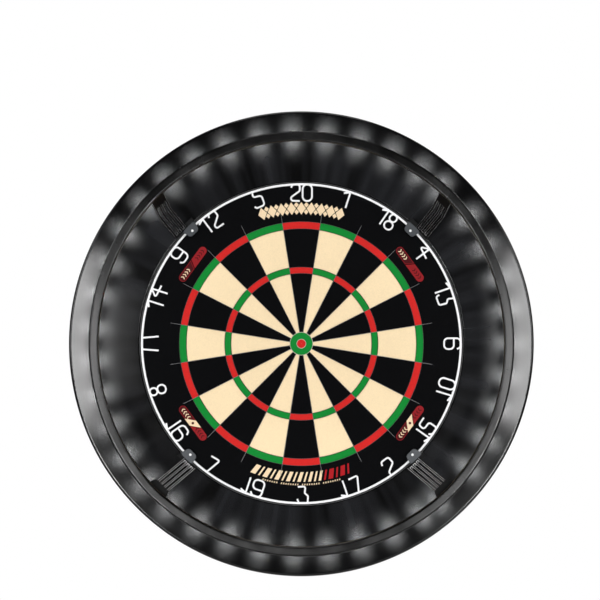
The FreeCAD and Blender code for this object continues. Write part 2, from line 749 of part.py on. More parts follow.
def light_leg(leg, side):
    """Slanted plate with three long slots, cut level where it meets its holder and its joiner."""
    shape = LEGS[leg]
    base = at(LEG_BASE_RADIUS, side * shape["base"], LEG_BASE_DEPTH)
    end = at(LEG_END_RADIUS, side * shape["end"], LEG_END_DEPTH)
    along = end - base
    length = along.Length
    along.normalize()
    outwards_turn = side * ((shape["base"] + shape["end"]) / 2 + 90)
    sideways = at(1, outwards_turn, 0)
    sideways = (sideways - along * sideways.dot(along)).normalize()
    normal = along.cross(sideways)
    bend_at = LEG_BEND * length

    def offset(x):
        """How far the leg's middle line stands to the side, at a distance along the leg."""
        if x <= 0 or x >= length:
            return 0.0
        return shape["bend"] * min(x / bend_at, (length - x) / (length - bend_at))

    def strip(low, high, start, stop):
        """Outline between two sideways distances from the leg's middle line."""
        stations = [start, bend_at, stop]
        outline = [(x, low + offset(x)) for x in stations]
        outline += [(x, high + offset(x)) for x in reversed(stations)]
        points = [base + along * x + sideways * y for x, y in outline]
        return Part.makePolygon(points + points[:1])

    half = LEG_WIDTH / 2
    outer = strip(-half, half, -LEG_OVERRUN, length + LEG_OVERRUN)
    slot_start, slot_stop = [share * length for share in shape["slots"]]
    slots = []
    for i in (-1, 0, 1):
        middle = i * LEG_RIB_PITCH
        slots.append(strip(middle - LEG_SLOT / 2, middle + LEG_SLOT / 2, slot_start, slot_stop))
    faces = [Part.Face(wire).extrude(normal * LEG_THICKNESS) for wire in [outer] + slots]
    plate = faces[0].cut(faces[1:])
    plate.translate(normal * (-LEG_THICKNESS / 2))
    reach = 2 * SURROUND_OUTER
    slab = Part.makeBox(
        reach, LEG_END_DEPTH - LEG_BASE_DEPTH, reach, Vector(-reach / 2, -LEG_END_DEPTH, -reach / 2)
    )
    return plate.common(slab)


def magnet_holder(leg, side):
    """Block in the surround's notch, which carries a leg, a foot tab and two magnets."""
    first, last = foot_span(leg)
    holder = sector(
        HOLDER_INNER, HOLDER_OUTER, (last - first) / 2, HOLDER_BACK, HOLDER_FRONT, side * (first + last) / 2
    )
    return holder.cut(magnet_pockets(leg, side))


def magnet_places(leg, side):
    first, last = foot_span(leg)
    quarter = (last - first) / 4
    return [side * (first + quarter), side * (last - quarter)]


def magnet_pockets(leg, side):
    return [turned(magnet(), angle) for angle in magnet_places(leg, side)]


def magnet():
    outer = MAGNET_FACE + MAGNET_THICKNESS
    return block(MAGNET_WIDTH, MAGNET_FACE, outer, MAGNET_BACK, MAGNET_BACK + MAGNET_HEIGHT)


def foot_magnets():
    magnets = []
    for leg in LEGS:
        for side in SIDES.values():
            magnets += magnet_pockets(leg, side)
    return Part.makeCompound(magnets)


def foot_angles():
    return [side * leg["tab"] for leg in LEGS.values() for side in SIDES.values()]


def foot_tabs():
    """Tabs that lie over the number ring, each with a neck down to its holder."""
    outline = [
        (-TAB_OUTER_WIDTH / 2, TAB_OUTER),
        (-TAB_INNER_WIDTH / 2 - 1.5, TAB_INNER),
        (TAB_INNER_WIDTH / 2 + 1.5, TAB_INNER),
        (TAB_OUTER_WIDTH / 2, TAB_OUTER),
    ]
    points = [Vector(across, -TAB_BACK, up) for across, up in outline]
    radii = [TAB_EDGE_ROUND, TAB_END_ROUND, TAB_END_ROUND, TAB_EDGE_ROUND]
    plate = Part.Face(rounded_wire(points, radii, True)).extrude(TO_PLAYER * (TAB_FRONT - TAB_BACK))
    neck = sector(TAB_OUTER - 1, TAB_NECK_OUTER, TAB_NECK_HALF_ANGLE, HOLDER_FRONT, TAB_FRONT - 0.5, 0)
    hole = disc(TAB_PIN_RADIUS, TAB_BACK - 1, TAB_FRONT + 1, Vector(0, 0, TAB_PIN_AT))
    tab = fused([plate, neck]).cut(hole)
    return Part.makeCompound([turned(tab, angle) for angle in foot_angles()])


def tab_pins():
    """Polished rivets through the foot tabs."""
    foot = Vector(0, 0, TAB_PIN_AT)
    shank = disc(TAB_PIN_RADIUS, TAB_BACK, TAB_FRONT, foot)
    sunk = TAB_PIN_DOME - TAB_PIN_HEIGHT
    dome = Part.makeSphere(TAB_PIN_DOME, foot + TO_PLAYER * (TAB_FRONT - sunk))
    head = dome.common(disc(TAB_PIN_DOME, TAB_FRONT, TAB_FRONT + TAB_PIN_HEIGHT, foot))
    pin = fused([shank, head])
    return Part.makeCompound([turned(pin, angle) for angle in foot_angles()])


def power_inlet():
    """Socket for a round plug, which enters from behind."""
    radius = arc_radius_at(INLET_ANGLE)
    back = LIGHT_BACK - INLET_LENGTH
    body = block(INLET_WIDTH, radius - INLET_WIDTH / 2, radius + INLET_WIDTH / 2, back, LIGHT_BACK)
    bore = disc(INLET_BORE, back - 1, LIGHT_BACK - INLET_FLOOR, Vector(0, 0, radius))
    return turned(body.cut(bore), INLET_ANGLE)


def power_inlet_pin():
    radius = arc_radius_at(INLET_ANGLE)
    tip = LIGHT_BACK - INLET_LENGTH + INLET_PIN_RECESS
    pin = disc(INLET_PIN, tip, LIGHT_BACK - INLET_FLOOR, Vector(0, 0, radius))
    return turned(pin, INLET_ANGLE)


def all_nodes():
    """Every node's name and shape."""
    nodes = {
        "wall_bracket": wall_bracket(),
        "centre_screw": centre_screw(),
        "centre_washer": centre_washer(),
        "centre_insert": centre_insert(),
        "backing_board": backing_board(),
        "steel_band": steel_band(),
        "sisal_body": sisal_body(),
        "sisal_outer_field": sisal_outer_field(),
        "black_beds": single_beds(0),
        "cream_beds": single_beds(1),
        "red_beds": scoring_beds(0),
        "green_beds": scoring_beds(1),
        "outer_bull": outer_bull(),
        "bullseye": bullseye(),
        "radial_blades": radial_blades(),
        "number_ring": number_ring(),
        "number_ring_clips": ring_clips(),
        "levelling_bases": levelling_bases(),
        "surround_skin": surround_skin(),
        "surround_core": surround_core(),
        "led_chips": led_chips(),
        "corner_joiners": corner_joiners(),
        "foot_magnets": foot_magnets(),
        "foot_tabs": foot_tabs(),
        "tab_pins": tab_pins(),
        "power_inlet": power_inlet(),
        "power_inlet_pin": power_inlet_pin(),
    }
    for name, radius in RING_BLADES.items():
        nodes[name] = ring_blade(radius)
    for name, radius in BULL_BLADES.items():
        nodes[name] = bull_blade(radius)
    for i, angle in enumerate(WHEEL_ANGLES, start=1):
        nodes[f"levelling_wheel_{i}"] = levelling_wheel(angle)
        nodes[f"levelling_foot_{i}"] = levelling_foot(angle)
    for name, angle in SEGMENTS.items():
        nodes[f"light_cover_{name}"] = light_cover(angle)
        nodes[f"led_board_{name}"] = led_board(angle)
    for leg in LEGS:
        for side_name, side in SIDES.items():
            nodes[f"leg_{leg}_{side_name}"] = light_leg(leg, side)
            nodes[f"magnet_holder_{leg}_{side_name}"] = magnet_holder(leg, side)
    return nodes


os.makedirs("parts", exist_ok=True)
for node_name, node_shape in all_nodes().items():
    node_shape.exportStep(f"parts/{node_name}.step")
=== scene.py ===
import json
import math

import bmesh
import bpy
from mathutils import Matrix, Vector, noise

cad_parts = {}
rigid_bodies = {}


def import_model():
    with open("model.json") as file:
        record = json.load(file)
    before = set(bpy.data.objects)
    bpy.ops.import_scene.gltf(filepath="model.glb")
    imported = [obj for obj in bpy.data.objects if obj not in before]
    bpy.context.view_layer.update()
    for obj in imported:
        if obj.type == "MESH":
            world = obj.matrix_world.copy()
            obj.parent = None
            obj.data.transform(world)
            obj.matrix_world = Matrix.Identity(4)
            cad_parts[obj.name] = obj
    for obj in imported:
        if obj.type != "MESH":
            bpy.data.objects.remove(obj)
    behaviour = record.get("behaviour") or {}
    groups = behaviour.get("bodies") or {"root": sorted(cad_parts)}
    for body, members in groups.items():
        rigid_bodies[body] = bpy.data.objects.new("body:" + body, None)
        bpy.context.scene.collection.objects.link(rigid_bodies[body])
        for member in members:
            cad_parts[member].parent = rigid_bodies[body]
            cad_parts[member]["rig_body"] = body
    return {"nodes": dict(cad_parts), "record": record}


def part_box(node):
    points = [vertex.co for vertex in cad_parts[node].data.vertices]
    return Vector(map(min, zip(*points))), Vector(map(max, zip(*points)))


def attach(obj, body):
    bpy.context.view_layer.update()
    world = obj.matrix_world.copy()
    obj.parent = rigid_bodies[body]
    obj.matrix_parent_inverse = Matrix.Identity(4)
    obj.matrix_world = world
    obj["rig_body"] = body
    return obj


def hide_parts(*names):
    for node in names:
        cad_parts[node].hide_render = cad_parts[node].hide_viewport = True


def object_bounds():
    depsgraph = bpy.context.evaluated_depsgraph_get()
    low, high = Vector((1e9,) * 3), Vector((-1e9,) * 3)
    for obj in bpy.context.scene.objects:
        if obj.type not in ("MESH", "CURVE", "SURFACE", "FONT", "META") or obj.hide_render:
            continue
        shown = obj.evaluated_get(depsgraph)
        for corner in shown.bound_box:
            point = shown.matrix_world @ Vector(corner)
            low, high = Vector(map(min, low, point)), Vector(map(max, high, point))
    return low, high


# Looks of a dartboard with a ring light, in metres, in the frame of its CAD model: X to the right and Z up
# as a player sees the board, with the player on the -Y side. A depth is a distance from the wall towards
# the player. Angles are in degrees, and one about the board's axis is clockwise from the top.

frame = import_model()
CAD_LOW, CAD_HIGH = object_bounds()

MM = 0.001
SECTIONS = 20
SECTION_ANGLE = 360 / SECTIONS
BLADE = 0.5 * MM
BLADE_SLOT = 0.6 * MM
BLADE_END_GAP = 0.2 * MM


def reach(node):
    """Outer radius of a node that is round about the board's axis."""
    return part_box(node)[1].x


def depths(node):
    """A node's back and front depth."""
    low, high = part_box(node)
    return -high.y, -low.y


DYE_BACK, FACE = depths("black_beds")
FIELD_OUTER = reach("sisal_outer_field")
RING_BLADES = ("double_outer", "double_inner", "treble_outer", "treble_inner", "outer_bull", "bullseye")
BLADE_RADII = {name: reach(f"{name}_blade") - BLADE / 2 for name in RING_BLADES}
SLOT_END = reach("radial_blades") + BLADE_END_GAP
SURROUND_OUTER = reach("surround_skin")
SURROUND_BACK, SURROUND_FRONT = depths("surround_skin")


# Places and meshes


def at(radius, angle, depth):
    """A point at a radius and clockwise angle about the board's axis."""
    turn = math.radians(angle)
    return Vector((radius * math.sin(turn), -depth, radius * math.cos(turn)))


def polar(point):
    """The radius and clockwise angle of a point."""
    return math.hypot(point.x, point.z), math.degrees(math.atan2(point.x, point.z))


def new_object(name, data):
    """An object in the scene, from a mesh, a light or a camera."""
    made = bpy.data.objects.new(name, data)
    bpy.context.scene.collection.objects.link(made)
    return made


def mesh_object(name, bm):
    """An object from a bmesh, which is used up, with its faces all turned outwards."""
    bmesh.ops.recalc_face_normals(bm, faces=bm.faces)
    mesh = bpy.data.meshes.new(name)
    bm.to_mesh(mesh)
    bm.free()
    return new_object(name, mesh)


SHARP_ANGLE = 35
SISAL_SHARP_ANGLE = 50


def new_piece(name, bm, body, look, slot, stands_for=(), sharp_angle=SHARP_ANGLE):
    """A piece that rides on a body, smooth but for its sharp edges, and stands for some CAD nodes.

    Its look is a material, or a list of them.
    """
    piece = mesh_object(name, bm)
    for face in piece.data.polygons:
        face.use_smooth = True
    piece.data.set_sharp_from_angle(angle=math.radians(sharp_angle))
    for material in look if isinstance(look, list) else [look]:
        piece.data.materials.append(material)
    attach(piece, body)
    if stands_for:
        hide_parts(*stands_for)
    return piece


WELD_DISTANCE = 0.002 * MM


def node_bmesh(node):
    """A node's mesh with its faces joined along their edges."""
    bm = bmesh.new()
    bm.from_mesh(frame["nodes"][node].data)
    bmesh.ops.remove_doubles(bm, verts=bm.verts, dist=WELD_DISTANCE)
    return bm


def solids_of(node):
    """The lowest corner, the highest corner and the middle of each separate solid of a node."""
    bm = node_bmesh(node)
    found, seen = [], set()
    for start in bm.verts:
        if start in seen:
            continue
        seen.add(start)
        island, waiting = [], [start]
        while waiting:
            vert = waiting.pop()
            island.append(vert.co.copy())
            for edge in vert.link_edges:
                other = edge.other_vert(vert)
                if other not in seen:
                    seen.add(other)
                    waiting.append(other)
        low = Vector([min(p[i] for p in island) for i in range(3)])
        high = Vector([max(p[i] for p in island) for i in range(3)])
        found.append((low, high, sum(island, Vector()) / len(island)))
    bm.free()
    return found


FLAT_ANGLE = 0.3
CORNER_ANGLE = 30
ROUND_PROFILE = 0.5
STEPPED_PROFILE = 0.0
HIGHLIGHT_FACING = -0.2


def soften_edges(bm, radius, profile):
    """Takes off a bmesh's sharp edges, and gives the faces that this makes."""
    sharp = [edge for edge in bm.edges if edge.calc_face_angle(0) > math.radians(CORNER_ANGLE)]
    made = bmesh.ops.bevel(
        bm,
        geom=sharp,
        offset=radius,
        offset_type="OFFSET",
        segments=2,
        profile=profile,
        affect="EDGES",
        clamp_overlap=True,
    )
    return made["faces"]


def rounded_copy(node, radius, look, slot, highlight_look=None):
    """A copy of a CAD node with its sharp edges rounded, which stands for the node.

    Its flat faces stay flat beside them. Edges that face the player may get a look of their own, a painted
    highlight.
    """
    bm = node_bmesh(node)
    bmesh.ops.dissolve_limit(bm, angle_limit=math.radians(FLAT_ANGLE), verts=bm.verts, edges=bm.edges)
    edge_faces = soften_edges(bm, radius, ROUND_PROFILE)
    if highlight_look:
        # Rounded edges that face the player get the painted highlight look
        for face in edge_faces:
            face.material_index = 1 if face.normal.y < HIGHLIGHT_FACING else 0
    body = frame["nodes"][node]["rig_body"]
    looks = [look, highlight_look] if highlight_look else look
    piece = new_piece(f"{node}_finished", bm, body, looks, slot, (node,))
    modifier = piece.modifiers.new("flat_faces", "WEIGHTED_NORMAL")
    modifier.keep_sharp = True


def lathe(bm, outline, columns):
    """Revolves a closed outline of (radius, depth) points about the board's axis."""
    rings = []
    for i in range(columns):
        angle = i * 360 / columns
        rings.append([bm.verts.new(at(radius, angle, depth)) for radius, depth in outline])
    for i, here in enumerate(rings):
        there = rings[(i + 1) % columns]
        for j in range(len(outline)):
            k = (j + 1) % len(outline)
            bm.faces.new((here[j], here[k], there[k], there[j]))


def rounded_outline(points, radii, steps):
    """A closed outline of (radius, depth) points with each corner rounded to its own radius."""
    outline = []
    count = len(points)
    for i, point in enumerate(points):
        corner = Vector(point)
        if radii[i] == 0:
            outline.append(tuple(corner))
            continue
        back = (Vector(points[i - 1]) - corner).normalized()
        ahead = (Vector(points[(i + 1) % count]) - corner).normalized()
        half = back.angle(ahead) / 2
        centre = corner + (back + ahead).normalized() * radii[i] / math.sin(half)
        start = corner + back * radii[i] / math.tan(half) - centre
        end = corner + ahead * radii[i] / math.tan(half) - centre
        sweep = start.angle_signed(end)
        for step in range(steps + 1):
            outline.append(tuple(centre + Matrix.Rotation(-sweep * step / steps, 2) @ start))
    return outline


def prism(bm, corners, place, back, front):
    """A flat shape of (across, up) corners, made solid between two depths. Place maps it to the board."""
    rear = [bm.verts.new(place(across, up, back)) for across, up in corners]
    fore = [bm.verts.new(place(across, up, front)) for across, up in corners]
    bm.faces.new(rear)
    bm.faces.new(reversed(fore))
    for i in range(len(corners)):
        j = (i + 1) % len(corners)
        bm.faces.new((rear[i], fore[i], fore[j], rear[j]))


# Materials


WHITE = (1, 1, 1, 1)


class Look:
    """A material's nodes, all in the object's own coordinates, in metres."""

    def __init__(self, name, colour, roughness, metallic=0.0, specular=0.5):
        self.material = bpy.data.materials.new(name)
        self.material.use_nodes = True
        self.tree = self.material.node_tree
        self.shader = self.tree.nodes["Principled BSDF"]
        self.place = self.tree.nodes.new("ShaderNodeTexCoord").outputs["Object"]
        self.set("Base Color", (*colour, 1.0))
        self.set("Roughness", roughness)
        self.set("Metallic", metallic)
        self.set("Specular IOR Level", specular)
        self.colour = colour

    def set(self, socket, value):
        """Feeds one of the shader's inputs."""
        self.feed(self.shader.inputs[socket], value)

    def feed(self, socket, value):
        """Gives an input a fixed value, or links it to another node's output."""
        if isinstance(value, bpy.types.NodeSocket):
            self.tree.links.new(value, socket)
        else:
            socket.default_value = value

    def node(self, kind, settings, inputs):
        """A new node, with its settings and its inputs fed."""
        made = self.tree.nodes.new(f"ShaderNode{kind}")
        for key, value in settings.items():
            setattr(made, key, value)
        for key, value in inputs.items():
            self.feed(made.inputs[key], value)
        return made

    def scaled(self, stretch):
        """The place, stretched along each axis."""
        return self.node("Mapping", {}, {"Vector": self.place, "Scale": stretch}).outputs["Vector"]

    def noise(self, scale, detail=3.0, roughness=0.5, place=None):
        """Smooth noise about a half."""
        inputs = {"Vector": place or self.place, "Scale": scale, "Detail": detail, "Roughness": roughness}
        return self.node("TexNoise", {}, inputs).outputs["Fac"]

    def cells(self, scale, output="Distance", place=None):
        """Irregular cells, as the distance from their middles or another output."""
        inputs = {"Vector": place or self.place, "Scale": scale}
        return self.node("TexVoronoi", {}, inputs).outputs[output]

    def ramp(self, factor, low, high, start=0.0, end=1.0):
        """Low's value up to start, high's from end on."""
        ramp = self.node("MapRange", {"clamp": True}, {"Value": factor})
        for key, value in (("From Min", start), ("From Max", end), ("To Min", low), ("To Max", high)):
            ramp.inputs[key].default_value = value
        return ramp.outputs["Result"]

    def math(self, operation, first, second):
        """A sum, product or other result of two values."""
        made = self.node("Math", {"operation": operation}, {})
        self.feed(made.inputs[0], first)
        self.feed(made.inputs[1], second)
        return made.outputs["Value"]

    def mix(self, factor, first, second):
        """A colour from first, at factor 0, to second, at factor 1."""
        made = self.node("Mix", {"data_type": "RGBA"}, {})
        self.feed(made.inputs["Factor"], factor)
        self.feed(made.inputs["A"], self.opaque(first))
        self.feed(made.inputs["B"], self.opaque(second))
        return made.outputs["Result"]

    @staticmethod
    def opaque(colour):
        return colour if isinstance(colour, bpy.types.NodeSocket) else (*colour, 1.0)

    def shade(self, factor, darkest, lightest):
        """The base colour, from darkest to lightest times itself as factor goes from 0 to 1."""
        return self.mix(
            factor,
            [min(1.0, c * darkest) for c in self.colour],
            [min(1.0, c * lightest) for c in self.colour],
        )

    def bump(self, height, distance, strength):
        """Roughens the shading by a height that is worth a distance."""
        inputs = {"Height": height, "Distance": distance, "Strength": strength}
        self.set("Normal", self.node("Bump", {}, inputs).outputs["Normal"])


FIBRE_END_SCALE = 2600


def sisal(name, colour, contrast, sheen=0.0):
    """Packed fibre ends: a fine grain, with the dye a little uneven over a few centimetres."""
    look = Look(name, colour, 0.9, specular=0.04)
    ends = look.cells(FIBRE_END_SCALE)
    clumps = look.noise(420, detail=4, roughness=0.65)
    drift = look.noise(26, detail=2)
    grain = look.math("ADD", look.math("MULTIPLY", ends, 0.75), look.math("MULTIPLY", clumps, 0.6))
    uneven = look.math("ADD", grain, look.math("MULTIPLY", drift, 0.3))
    dye = look.ramp(uneven, 0, 1, start=0.35, end=1.05)
    look.set("Base Color", look.shade(dye, 1 - contrast, 1 + contrast))
    look.set("Roughness", look.ramp(clumps, 0.82, 0.98))
    look.set("Sheen Weight", sheen)
    look.bump(grain, 0.35 * MM, strength=0.7)
    return look.material


def painted_steel(name, colour, roughness, grain=700, depth=0.03):
    """Powder coat: a fine orange peel, with faint wear in its gloss."""
    look = Look(name, colour, roughness)
    peel = look.noise(grain, detail=2)
    worn = look.noise(35, detail=5, roughness=0.6)
    look.set("Roughness", look.ramp(worn, roughness - 0.08, roughness + 0.1, start=0.3, end=0.7))
    look.set("Base Color", look.shade(worn, 0.8, 1.25))
    look.bump(peel, depth * MM, strength=0.6)
    return look.material


def bare_metal(name, colour, roughness, stretch=(60, 900, 900)):
    """Metal with a drawn grain."""
    look = Look(name, colour, roughness, metallic=1.0)
    grain = look.noise(1.0, detail=4, roughness=0.6, place=look.scaled(stretch))
    stain = look.noise(90, detail=3)
    look.set("Base Color", look.shade(stain, 0.82, 1.1))
    look.set("Roughness", look.ramp(grain, roughness - 0.08, roughness + 0.12, start=0.3, end=0.7))
    look.bump(grain, 0.02 * MM, strength=0.35)
    return look.material


def moulded_plastic(name, colour, roughness, grain=1500, depth=0.02, specular=0.45):
    """Moulded plastic with a spark-eroded texture."""
    look = Look(name, colour, roughness, specular=specular)
    texture = look.noise(grain, detail=2, roughness=0.6)
    flow = look.noise(18, detail=3)
    look.set("Roughness", look.ramp(flow, roughness - 0.05, roughness + 0.07, start=0.35, end=0.65))
    look.set("Base Color", look.shade(flow, 0.88, 1.14))
    look.bump(texture, depth * MM, strength=0.5)
    return look.material


def chipboard(name, colour):
    """Pressed wood chips of mixed browns."""
    look = Look(name, colour, 0.75, specular=0.3)
    flat = look.scaled((1.0, 2.6, 0.45))
    turned = look.scaled((0.45, 2.6, 1.0))
    chips = look.cells(330, "Color", place=flat)
    more_chips = look.cells(260, "Color", place=turned)
    first = look.node("SeparateColor", {}, {"Color": chips}).outputs["Red"]
    second = look.node("SeparateColor", {}, {"Color": more_chips}).outputs["Green"]
    mixed = look.math("ADD", look.math("MULTIPLY", first, 0.55), look.math("MULTIPLY", second, 0.45))
    fine = look.noise(900, detail=4, roughness=0.7)
    look.set("Base Color", look.shade(look.math("ADD", mixed, look.ramp(fine, -0.2, 0.2)), 0.45, 1.35))
    look.set("Roughness", look.ramp(mixed, 0.62, 0.88))
    look.bump(look.math("ADD", mixed, fine), 0.15 * MM, strength=0.5)
    return look.material


def foam(name, colour):
    """Closed-cell foam with open pores on its cut faces."""
    look = Look(name, colour, 0.92, specular=0.2)
    pores = look.cells(1100)
    large = look.cells(420)
    both = look.math("MULTIPLY", look.ramp(pores, 0, 1, end=0.5), look.ramp(large, 0, 1, end=0.4))
    look.set("Base Color", look.shade(both, 0.6, 1.4))
    look.set("Roughness", look.ramp(both, 0.98, 0.85))
    look.bump(both, 0.4 * MM, strength=0.8)
    return look.material


def spokes(look):
    """A place's distance from the board's axis, and its direction from it as a point on a circle."""
    parts = look.node("SeparateXYZ", {}, {"Vector": look.place}).outputs
    squares = [look.math("MULTIPLY", parts[axis], parts[axis]) for axis in ("X", "Z")]
    radius = look.math("SQRT", look.math("ADD", *squares), 0.0)
    across, up = [look.math("DIVIDE", parts[axis], radius) for axis in ("X", "Z")]
    return radius, look.node("CombineXYZ", {}, {"X": across, "Y": up}).outputs["Vector"]


WIDE_STREAK_SCALE = 5.5
NARROW_STREAK_SCALE = 17
# Colour of the painted reflection streaks on the surround
PAINTED_STREAK_COLOUR = (0.016, 0.0165, 0.0185)
STREAK_END = 280 * MM
STREAK_FADE = 16 * MM
GLOSS_ROUGHNESS = (0.198, 0.212)
GLOSS_ANISOTROPY = 0.22
GLOSS_IOR = 1.5


def glossy_surround(name, colour):
    """A soft-edged gloss over black, with radial streaks of painted reflection in its colour inside the
    ring light.
    """
    look = Look(name, colour, 0.6, specular=0.0)
    radius, spoke = spokes(look)
    wide = look.noise(WIDE_STREAK_SCALE, detail=1, roughness=0.5, place=spoke)
    narrow = look.noise(NARROW_STREAK_SCALE, detail=1, roughness=0.5, place=spoke)
    both = look.math("ADD", look.math("MULTIPLY", wide, 0.6), look.math("MULTIPLY", narrow, 0.4))
    inside = look.ramp(radius, 1.0, 0.0, STREAK_END - STREAK_FADE, STREAK_END)
    # Painted reflection: lighter radial streaks in the base colour, fading out at the ring light
    painted_reflection_streaks = look.math("MULTIPLY", look.ramp(both, 0, 1, start=0.38, end=0.66), inside)
    look.set("Base Color", look.mix(painted_reflection_streaks, colour, PAINTED_STREAK_COLOUR))
    reflection = {"Color": WHITE, "Anisotropy": GLOSS_ANISOTROPY}
    gloss = look.node("BsdfAnisotropic", {"distribution": "BECKMANN"}, reflection)
    around = look.node("Tangent", {"direction_type": "RADIAL", "axis": "Y"}, {})
    look.feed(gloss.inputs["Tangent"], around.outputs["Tangent"])
    rubbing = look.noise(30, detail=2)
    look.feed(gloss.inputs["Roughness"], look.ramp(rubbing, *GLOSS_ROUGHNESS, start=0.35, end=0.65))
    waves = look.noise(260, detail=2)
    skin = look.node("Bump", {}, {"Height": waves, "Distance": 0.02 * MM, "Strength": 0.1})
    look.feed(gloss.inputs["Normal"], skin.outputs["Normal"])
    shine = look.node("Fresnel", {}, {"IOR": GLOSS_IOR}).outputs["Fac"]
    layers = look.node("MixShader", {}, {"Fac": shine})
    look.tree.links.new(look.shader.outputs["BSDF"], layers.inputs[1])
    look.tree.links.new(gloss.outputs["BSDF"], layers.inputs[2])
    look.tree.links.new(layers.outputs["Shader"], look.tree.nodes["Material Output"].inputs["Surface"])
    return look.material


def white_wire(name, colour):
    """Thick white gloss paint on wire."""
    look = Look(name, colour, 0.32, specular=0.5)
    runs = look.noise(160, detail=3)
    look.set("Base Color", look.shade(runs, 0.96, 1.04))
    look.set("Roughness", look.ramp(runs, 0.25, 0.4))
    look.bump(look.noise(650, detail=2), 0.03 * MM, strength=0.35)
    return look.material


LAMP_LIGHT = (0.97, 0.985, 1.0, 1.0)
LAMP_STRENGTH = 205.0


def lamp_phosphor(name, colour):
    """Yellow-white phosphor under clear resin, alight."""
    look = Look(name, colour, 0.35)
    grains = look.noise(2200, detail=2)
    look.set("Base Color", look.shade(grains, 0.85, 1.1))
    look.set("Emission Color", LAMP_LIGHT)
    look.set("Emission Strength", LAMP_STRENGTH)
    look.bump(grains, 0.02 * MM, strength=0.4)
    return look.material


def print_ink(name, colour):
    """Screen print on the fibre ends, which show through it as fine gaps."""
    look = Look(name, colour, 0.8, specular=0.15)
    ends = look.cells(FIBRE_END_SCALE)
    look.set("Base Color", look.shade(look.ramp(ends, 1, 0, start=0.2, end=0.9), 0.78, 1.06))
    look.set("Roughness", look.ramp(ends, 0.7, 0.92))
    look.bump(ends, 0.2 * MM, strength=0.5)
    return look.material


LOOKS = {
    "bracket_steel": painted_steel("bracket_powder_coat", (0.02, 0.02, 0.022), 0.42),
    "zinc_steel": bare_metal("zinc_plate", (0.62, 0.62, 0.6), 0.32),
    "brass_bush": bare_metal("turned_brass", (0.72, 0.55, 0.25), 0.3),
    "chipboard": chipboard("pressed_chipboard", (0.42, 0.29, 0.17)),
    "band_steel": painted_steel("band_black_coat", (0.012, 0.012, 0.013), 0.36, 900, 0.02),
    "sisal_natural": sisal("sisal_undyed", (0.55, 0.43, 0.27), 0.3, 0.1),
    "sisal_black": sisal("sisal_black_dye", (0.0024, 0.0025, 0.0029), 0.45),
    "sisal_cream": sisal("sisal_cream_dye", (0.87, 0.69, 0.44), 0.1),
    "sisal_red": sisal("sisal_red_dye", (0.58, 0.022, 0.02), 0.16),
    "sisal_green": sisal("sisal_green_dye", (0.008, 0.215, 0.032), 0.18),
    "blade_steel": bare_metal("blade_edge_steel", (0.13, 0.13, 0.135), 0.42, (500, 900, 500)),
    "number_wire": white_wire("number_wire_white", (0.86, 0.86, 0.87)),
    "clip_steel": painted_steel("clip_black_oxide", (0.012, 0.012, 0.013), 0.4),
    "wheel_plastic": moulded_plastic("wheel_nylon", (0.03, 0.03, 0.032), 0.42),
    "pad_rubber": moulded_plastic("pad_rubber_matte", (0.022, 0.022, 0.022), 0.78, 900, 0.05),
    "surround_gloss": glossy_surround("surround_gloss_black", (0.002, 0.002, 0.0022)),
    "surround_foam": foam("surround_black_foam", (0.025, 0.025, 0.026)),
    "light_housing": moulded_plastic("light_housing_satin", (0.001, 0.001, 0.0011), 0.225, 1300, 0.004),
    "led_board": moulded_plastic("black_solder_mask", (0.012, 0.014, 0.013), 0.4, 1800, 0.01),
    "led_lamp": moulded_plastic("lamp_body_white", (0.8, 0.8, 0.78), 0.3, 2500, 0.005),
    "leg_plastic": moulded_plastic("leg_satin_black", (0.004, 0.004, 0.0046), 0.65, 1200, 0.012, 0.03),
    "magnet_nickel": bare_metal("magnet_nickel_plate", (0.7, 0.69, 0.66), 0.16),
    "tab_plastic": moulded_plastic("tab_blue_grey", (0.022, 0.027, 0.033), 0.4, 1500, 0.015),
    # Painted highlight: the steel pin's cap is near white paint that stands in for its glint
    "pin_steel": white_wire("pin_painted_glint", (0.9, 0.9, 0.9)),
}
LAMP = lamp_phosphor("lamp_phosphor_glow", (0.95, 0.86, 0.55))
INK_CREAM = print_ink("ink_cream", (0.86, 0.67, 0.44))
INK_RED = print_ink("ink_red", (0.4, 0.009, 0.013))
INK_DULL_RED = print_ink("ink_dull_red", (0.27, 0.011, 0.015))
INK_DARK_RED = print_ink("ink_dark_red", (0.065, 0.004, 0.006))
INK_MAROON = print_ink("ink_maroon", (0.2, 0.006, 0.01))
DARK_PLASTIC = moulded_plastic("holder_matte_black", (0.003, 0.003, 0.0033), 0.6, 1200, 0.012, 0.15)
# Painted highlight: a pale colour for leg edges that face the player, standing in for their glints
LEG_PAINTED_HIGHLIGHT = moulded_plastic("leg_painted_highlight", (0.8, 0.8, 0.81), 0.3, 1200, 0.012)
DARK_BLADE = bare_metal("ring_blade_darkened", (0.05, 0.05, 0.052), 0.5, (500, 900, 500))
BRIGHT_BLADE = white_wire("bull_blade_bright", (0.6, 0.56, 0.48))
NODE_LOOKS = {
    "corner_joiners": DARK_PLASTIC,
    "magnet_holder_": DARK_PLASTIC,
    "double_": DARK_BLADE,
    "treble_": DARK_BLADE,
    "outer_bull_blade": BRIGHT_BLADE,
    "bullseye_blade": BRIGHT_BLADE,
}
SLOTS = {part["node"]: part["material_slot"] for part in frame["record"]["subparts"]}


# Sisal: every section bulges a little between its blades. A side without a blade is NO_EDGE away


GRID_STEP = 1.3 * MM
EDGE_STEPS = (0.0, 0.25 * MM, 0.6 * MM, 1.1 * MM)
BULGE = 0.3 * MM
BULGE_REACH = 0.7 * MM
FIBRE_HEIGHT = 0.06 * MM
FIBRE_SCALE = 700.0
SWELL_HEIGHT = 0.1 * MM
SWELL_SCALE = 55.0
NO_EDGE = 1.0
OUTER_BULL_COLUMNS = 96
BULLSEYE_COLUMNS = 48
BULLSEYE_HOLE = 0.3 * MM


